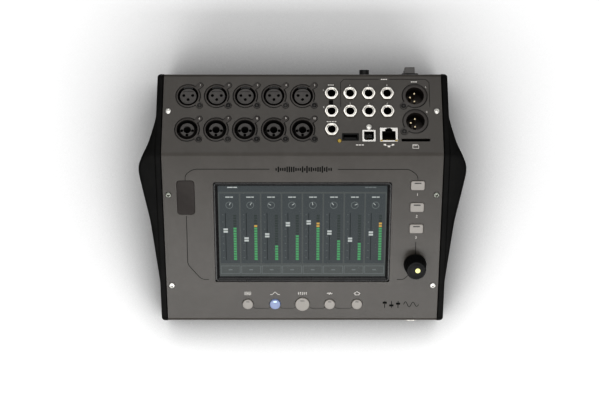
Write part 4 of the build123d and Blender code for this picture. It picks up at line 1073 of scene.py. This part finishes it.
class DESK_OT_prints(bpy.types.Operator):
    """Lay the printed guide lines, numbers and pictograms on the panel"""
    bl_idname = "desk.prints"
    bl_label = "Lay the Prints"

    def execute(self, context):
        lift = sizes("print_lift")
        dark, pale = [], []
        face, back = front(0, 0), rear(0, 0)

        def front_line(points, reach=4.0, width=0.5):
            points = rounded_line([(x, -s) for x, s in points], reach) if len(points) > 2 else [(x, -s) for x,
                    s in points]
            dark.append(line_on(face, points, width, lift))

        front_line([(-29.4, 14.3), (-97.4, 14.3), (-104.8, 19.6), (-104.8, 25.0)], 3.5)
        front_line([(-104.8, 58.9), (-105.1, 106.5), (-92.7, 121.5), (-86.1, 121.5)], 3.5)
        front_line([(31.6, 14.5), (95.5, 14.5), (103.1, 20.4), (103.1, 24.4)], 3.5)
        front_line([(103.2, 84.2), (103.3, 96.1)])
        front_line([(97.1, 117.5), (93.2, 121.5), (87.1, 121.5)], 2.0)
        for left, right in ((-44.0, -31.2), (-18.9, -8.4), (8.8, 19.6), (32.0, 44.6)):
            side = 1.6
            front_line([(left - side, 149.6), (left, 150.9), (right, 150.9), (right + side, 149.6)], 0.8,
                    0.34)
        for i in range(26):
            height = 2.2 + 4.4 * abs(sin(1.7 * i) * cos(0.43 * i + 0.4))
            x = -24.0 + 1.96 * i
            dark.append(moved(rectangle(x, -14.5 - height / 2, x + 1.15, -14.5 + height / 2, lift), face))
        for i, rise in enumerate((1.6, -1.2, 0.6)):
            x = 76.5 + 6.2 * i
            dark.append(line_on(face, [(x, -143.4), (x, -150.4)], 0.6, lift))
            dark.append(moved(rectangle(x - 1.9, -147.6 + rise, x + 1.9, -145.8 + rise, lift * 1.2), face))
        wave = np.linspace(0, 1, 40)
        dark.append(line_on(face,
                np.stack([94.0 + 14.0 * wave, -146.9 + 2.8 * np.sin(wave * 4 * pi) * (1 - 0.3 * wave)], -1),
                0.5, lift))
        for digit, s in (("1", 38.4), ("2", 59.2), ("3", 79.8)):
            pale.append(moved(glyphs(digit, 2.5), front(KEY_X, s, lift)))
        self.button_marks(pale, lift)
        for i, x in enumerate(MIC_X):
            for row, s in enumerate(MIC_S):
                pale.append(moved(glyphs(str(i + 1 + 5 * row), 2.0), rear(x + 10.8, s + 10.4, 0.66)))
        for i, x in enumerate(OUTPUT_X):
            for row, s in enumerate((65.6, 48.0)):
                pale.append(moved(glyphs(str(2 * i + row + 1), 1.9), rear(x, s, lift)))
        for letter, x, s in (("L", 19.1, 61.1), ("R", 19.3, 44.4), ("L", 111.4, 64.0), ("R", 111.5, 39.8)):
            pale.append(moved(glyphs(letter, 1.8), rear(x, s, lift)))
        outline = [(34.3, 44.6), (34.3, 68.4), (37.4, 71.6), (69.0, 71.6)]
        dark.append(line_on(back, outline, 0.42, lift))
        dark.append(line_on(back, [(78.4, 71.6), (111.2, 71.6), (114.3, 68.4), (114.3, 44.6)], 0.42, lift))
        dark.append(moved(rectangle(23.9, 47.0, 27.5, 51.2, lift), back))
        self.rear_marks(pale, back, lift)
        make_piece("panel_print_dark", joined(dark), "case", "print_dark", (), 30)
        make_piece("panel_print_pale", joined(pale), "case", "print_pale", (), 30)
        return {"FINISHED"}

    def button_marks(self, pale, lift):
        """Sliders, a bell curve, a row of faders, a wave and a house."""
        t = np.linspace(-1, 1, 24)
        strokes = []
        for i in range(3):
            strokes.append((-2, [(-3.2, 1.3 - 1.3 * i), (3.2, 1.3 - 1.3 * i)]))
            strokes.append((-2, [(-1.6 + 1.6 * i, 0.85 - 1.3 * i), (-1.6 + 1.6 * i, 1.75 - 1.3 * i)]))
        strokes.append((-1, np.stack([4.6 * t, -1.2 + 2.6 * np.exp(-(t * 2.6) ** 2)], -1)))
        for i in range(5):
            strokes.append((0, [(-3.6 + 1.8 * i, -1.5), (-3.6 + 1.8 * i, 1.5)]))
            level = 0.9 * sin(2.2 * i)
            strokes.append((0, [(-4.2 + 1.8 * i, level), (-3.0 + 1.8 * i, level)]))
        strokes.append((1, np.stack([2.6 * t, 1.3 * np.sin(3 * pi * t) * (1 - np.abs(t))], -1)))
        strokes.append((2, [(-3.0, -0.1), (0, 1.9), (3.0, -0.1)]))
        strokes.append((2, [(-1.9, 0.5), (-1.9, -1.5), (1.9, -1.5), (1.9, 0.5)]))
        for column, points in strokes:
            pale.append(moved(ribbon(points, 0.42, lift), front(BUTTON_PITCH * column, 135.7)))

    def rear_marks(self, pale, back, lift):
        """Plain dashes and pictograms beside the rear sockets."""
        dashes = [(73.7, 71.5, (1.5, 1.5, 1.5)), (100.7, 69.0, (1.6, 1.3, 1.6)),
                (25.6, 66.0, (1.6, 1.4, 1.2)), (26.0, 30.6, (1.8, 1.6, 2.0, 1.7)),
                (51.0, 8.4, (2.0, 2.0, 2.0))]
        for x, s, lengths in dashes:
            start = x - (sum(lengths) + 0.5 * (len(lengths) - 1)) / 2
            for length in lengths:
                pale.append(moved(rectangle(start, s - 0.45, start + length, s + 0.45, lift), back))
                start += length + 0.5
        for x, y in ((-3.6, 0.9), (0, -0.9), (3.6, 0.9)):
            pale.append(moved(rectangle(x - 1.1, y - 0.7, x + 1.1, y + 0.7, lift), rear(76.8, 7.8)))
        pale.append(moved(ribbon([(-3.6, 0.2), (-3.6, 0), (3.6, 0), (3.6, 0.2)], 0.3, lift), rear(76.8, 7.8)))
        card = [(-2.6, -1.7), (-2.6, 1.7), (1.4, 1.7), (2.6, 0.6), (2.6, -1.7)]
        pale.append(moved(ribbon(card, 0.45, lift, True), rear(100.6, 7.0)))
        for i in range(3):
            pale.append(moved(rectangle(-1.9 + 1.2 * i, 0.3, -1.3 + 1.2 * i, 1.3, lift), rear(100.6, 7.0)))


class DESK_OT_fittings(bpy.types.Operator):
    """Line the data sockets in black, with their contacts and lamps"""
    bl_idname = "desk.fittings"
    bl_label = "Build the Small Fittings"

    def execute(self, context):
        network, device, host = rear(77.0, 18.3), rear(59.3, 17.3), rear(42.7, 16.1)
        liners = [moved(well(11.7, 8.5, 0.2, -12.9, -0.35), network @ shift(0, -1.0)),
                  moved(well(6.1, 2.5, 0.15, -12.9, -0.35), network @ shift(0, 4.0)),
                  moved(well(8.5, 7.8, 0.9, -11.9, -0.35), device),
                  moved(well(12.5, 4.9, 0.25, -11.9, -0.4), host)]
        tongue = loft(pad(5.5, 3.1, 0.3, [(0, -11.5), (0, -1.5), (0.15, -1.35)]))
        liners.append(moved(tongue, device))
        make_piece("data_liners", joined(liners), "case", "bore_dark", (), 30)
        contacts = []
        for i in range(8):
            path = np.array([(-4.55, -12.0), (-4.3, -3.2), (-3.9, -2.6), (-3.2, -6.0), (-2.4, -11.5)])
            section = ((-0.2, 0), (0.2, 0), (0.2, 0.16), (-0.2, 0.16))
            loops = [[(1.02 * (i - 3.5) + dx, y + dy, z) for dx, dy in section] for y, z in path]
            contacts.append(moved(loft(loops), network))
        strip = loft(pad(1.0, 0.12, 0.05, [(0, -10.5), (0, -1.6)]))
        for side in (-1, 1):
            for row in (1, -1):
                contacts.append(moved(strip, device @ shift(1.4 * side, 1.58 * row)))
        make_piece("data_contacts", joined(contacts), "case", "contact_gold", (), 30)
        lamps = []
        for side in (-1, 1):
            lamps.append(moved(loft(pad(2.1, 1.5, 0.3, [(0, -2.0), (0, -0.05), (0.15, 0.06)])),
                    network @ shift(6.6 * side, -5.6)))
        make_piece("network_lamps", joined(lamps), "case", "lamp_amber", (), 30)
        return {"FINISHED"}


class DESK_OT_stage(bpy.types.Operator):
    """Set the pale floor, the soft lights and the camera"""
    bl_idname = "desk.stage"
    bl_label = "Set the Stage"

    def execute(self, context):
        scene = context.scene
        settings = scene.desk_stage
        mesh = bpy.data.meshes.new("floor")
        mesh.from_pydata([(-6, -6, 0), (6, -6, 0), (6, 6, 0), (-6, 6, 0)], [], [[0, 1, 2, 3]])
        mesh.materials.append(finish("floor"))
        floor = bpy.data.objects.new("floor", mesh)
        scene.collection.objects.link(floor)
        world = bpy.data.worlds.new("soft_sky")
        world.use_nodes = True
        world.node_tree.nodes["Background"].inputs[0].default_value = (1, 1, 1, 1)
        world.node_tree.nodes["Background"].inputs[1].default_value = settings.sky
        scene.world = world
        scene.view_settings.view_transform = "Standard"
        scene.view_settings.look = "High Contrast"
        lights = (("front_light", (0, -0.92, 0.9), (radians(45.5), 0, 0), (2.0, 0.3), settings.front_light),
                  ("top_light", (0, 0, 1.6), (0, 0, 0), (2.4, 1.6), settings.top_light),
                  ("back_glint", (0, 0.95, 1.3), (radians(-36), 0, 0), (1.4, 0.5), settings.back_glint))
        for name, place, turn, (wide, deep), power in lights:
            data = bpy.data.lights.new(name, "AREA")
            data.shape, data.size, data.size_y, data.energy = "RECTANGLE", wide, deep, power
            lamp = bpy.data.objects.new(name, data)
            lamp.location, lamp.rotation_euler = place, turn
            scene.collection.objects.link(lamp)
        data = bpy.data.cameras.new("camera")
        data.lens, data.sensor_width, data.clip_end = settings.lens, 36.0, 20.0
        camera = bpy.data.objects.new("camera", data)
        camera.location = (-2.2 * MM, -4.1 * MM, settings.camera_height)
        scene.collection.objects.link(camera)
        scene.camera = camera
        return {"FINISHED"}


STEPS = (DESK_OT_dress, DESK_OT_cheeks, DESK_OT_screen, DESK_OT_keys, DESK_OT_knob, DESK_OT_sockets,
        DESK_OT_nuts, DESK_OT_screws, DESK_OT_prints, DESK_OT_fittings, DESK_OT_stage)


class DESK_PT_panel(bpy.types.Panel):
    """Lists the desk's sizes and the steps that build it"""
    bl_idname = "DESK_PT_panel"
    bl_label = "Mixing Desk"
    bl_space_type = "VIEW_3D"
    bl_region_type = "UI"
    bl_category = "Mixing Desk"

    def draw(self, context):
        for group in (context.scene.desk_sizes, context.scene.desk_stage):
            for name in group.bl_rna.properties.keys():
                if name not in ("rna_type", "name"):
                    self.layout.prop(group, name)
        for step in STEPS:
            self.layout.operator(step.bl_idname)


CLASSES = (DeskSizes, DeskStage, *STEPS, DESK_PT_panel)


def register():
    for cls in CLASSES:
        bpy.utils.register_class(cls)
    bpy.types.Scene.desk_sizes = bpy.props.PointerProperty(type=DeskSizes)
    bpy.types.Scene.desk_stage = bpy.props.PointerProperty(type=DeskStage)


def unregister():
    del bpy.types.Scene.desk_stage
    del bpy.types.Scene.desk_sizes
    for cls in reversed(CLASSES):
        bpy.utils.unregister_class(cls)


def main():
    register()
    for step in STEPS:
        prefix, name = step.bl_idname.split(".")
        getattr(getattr(bpy.ops, prefix), name)()


if __name__ == "__main__":
    main()
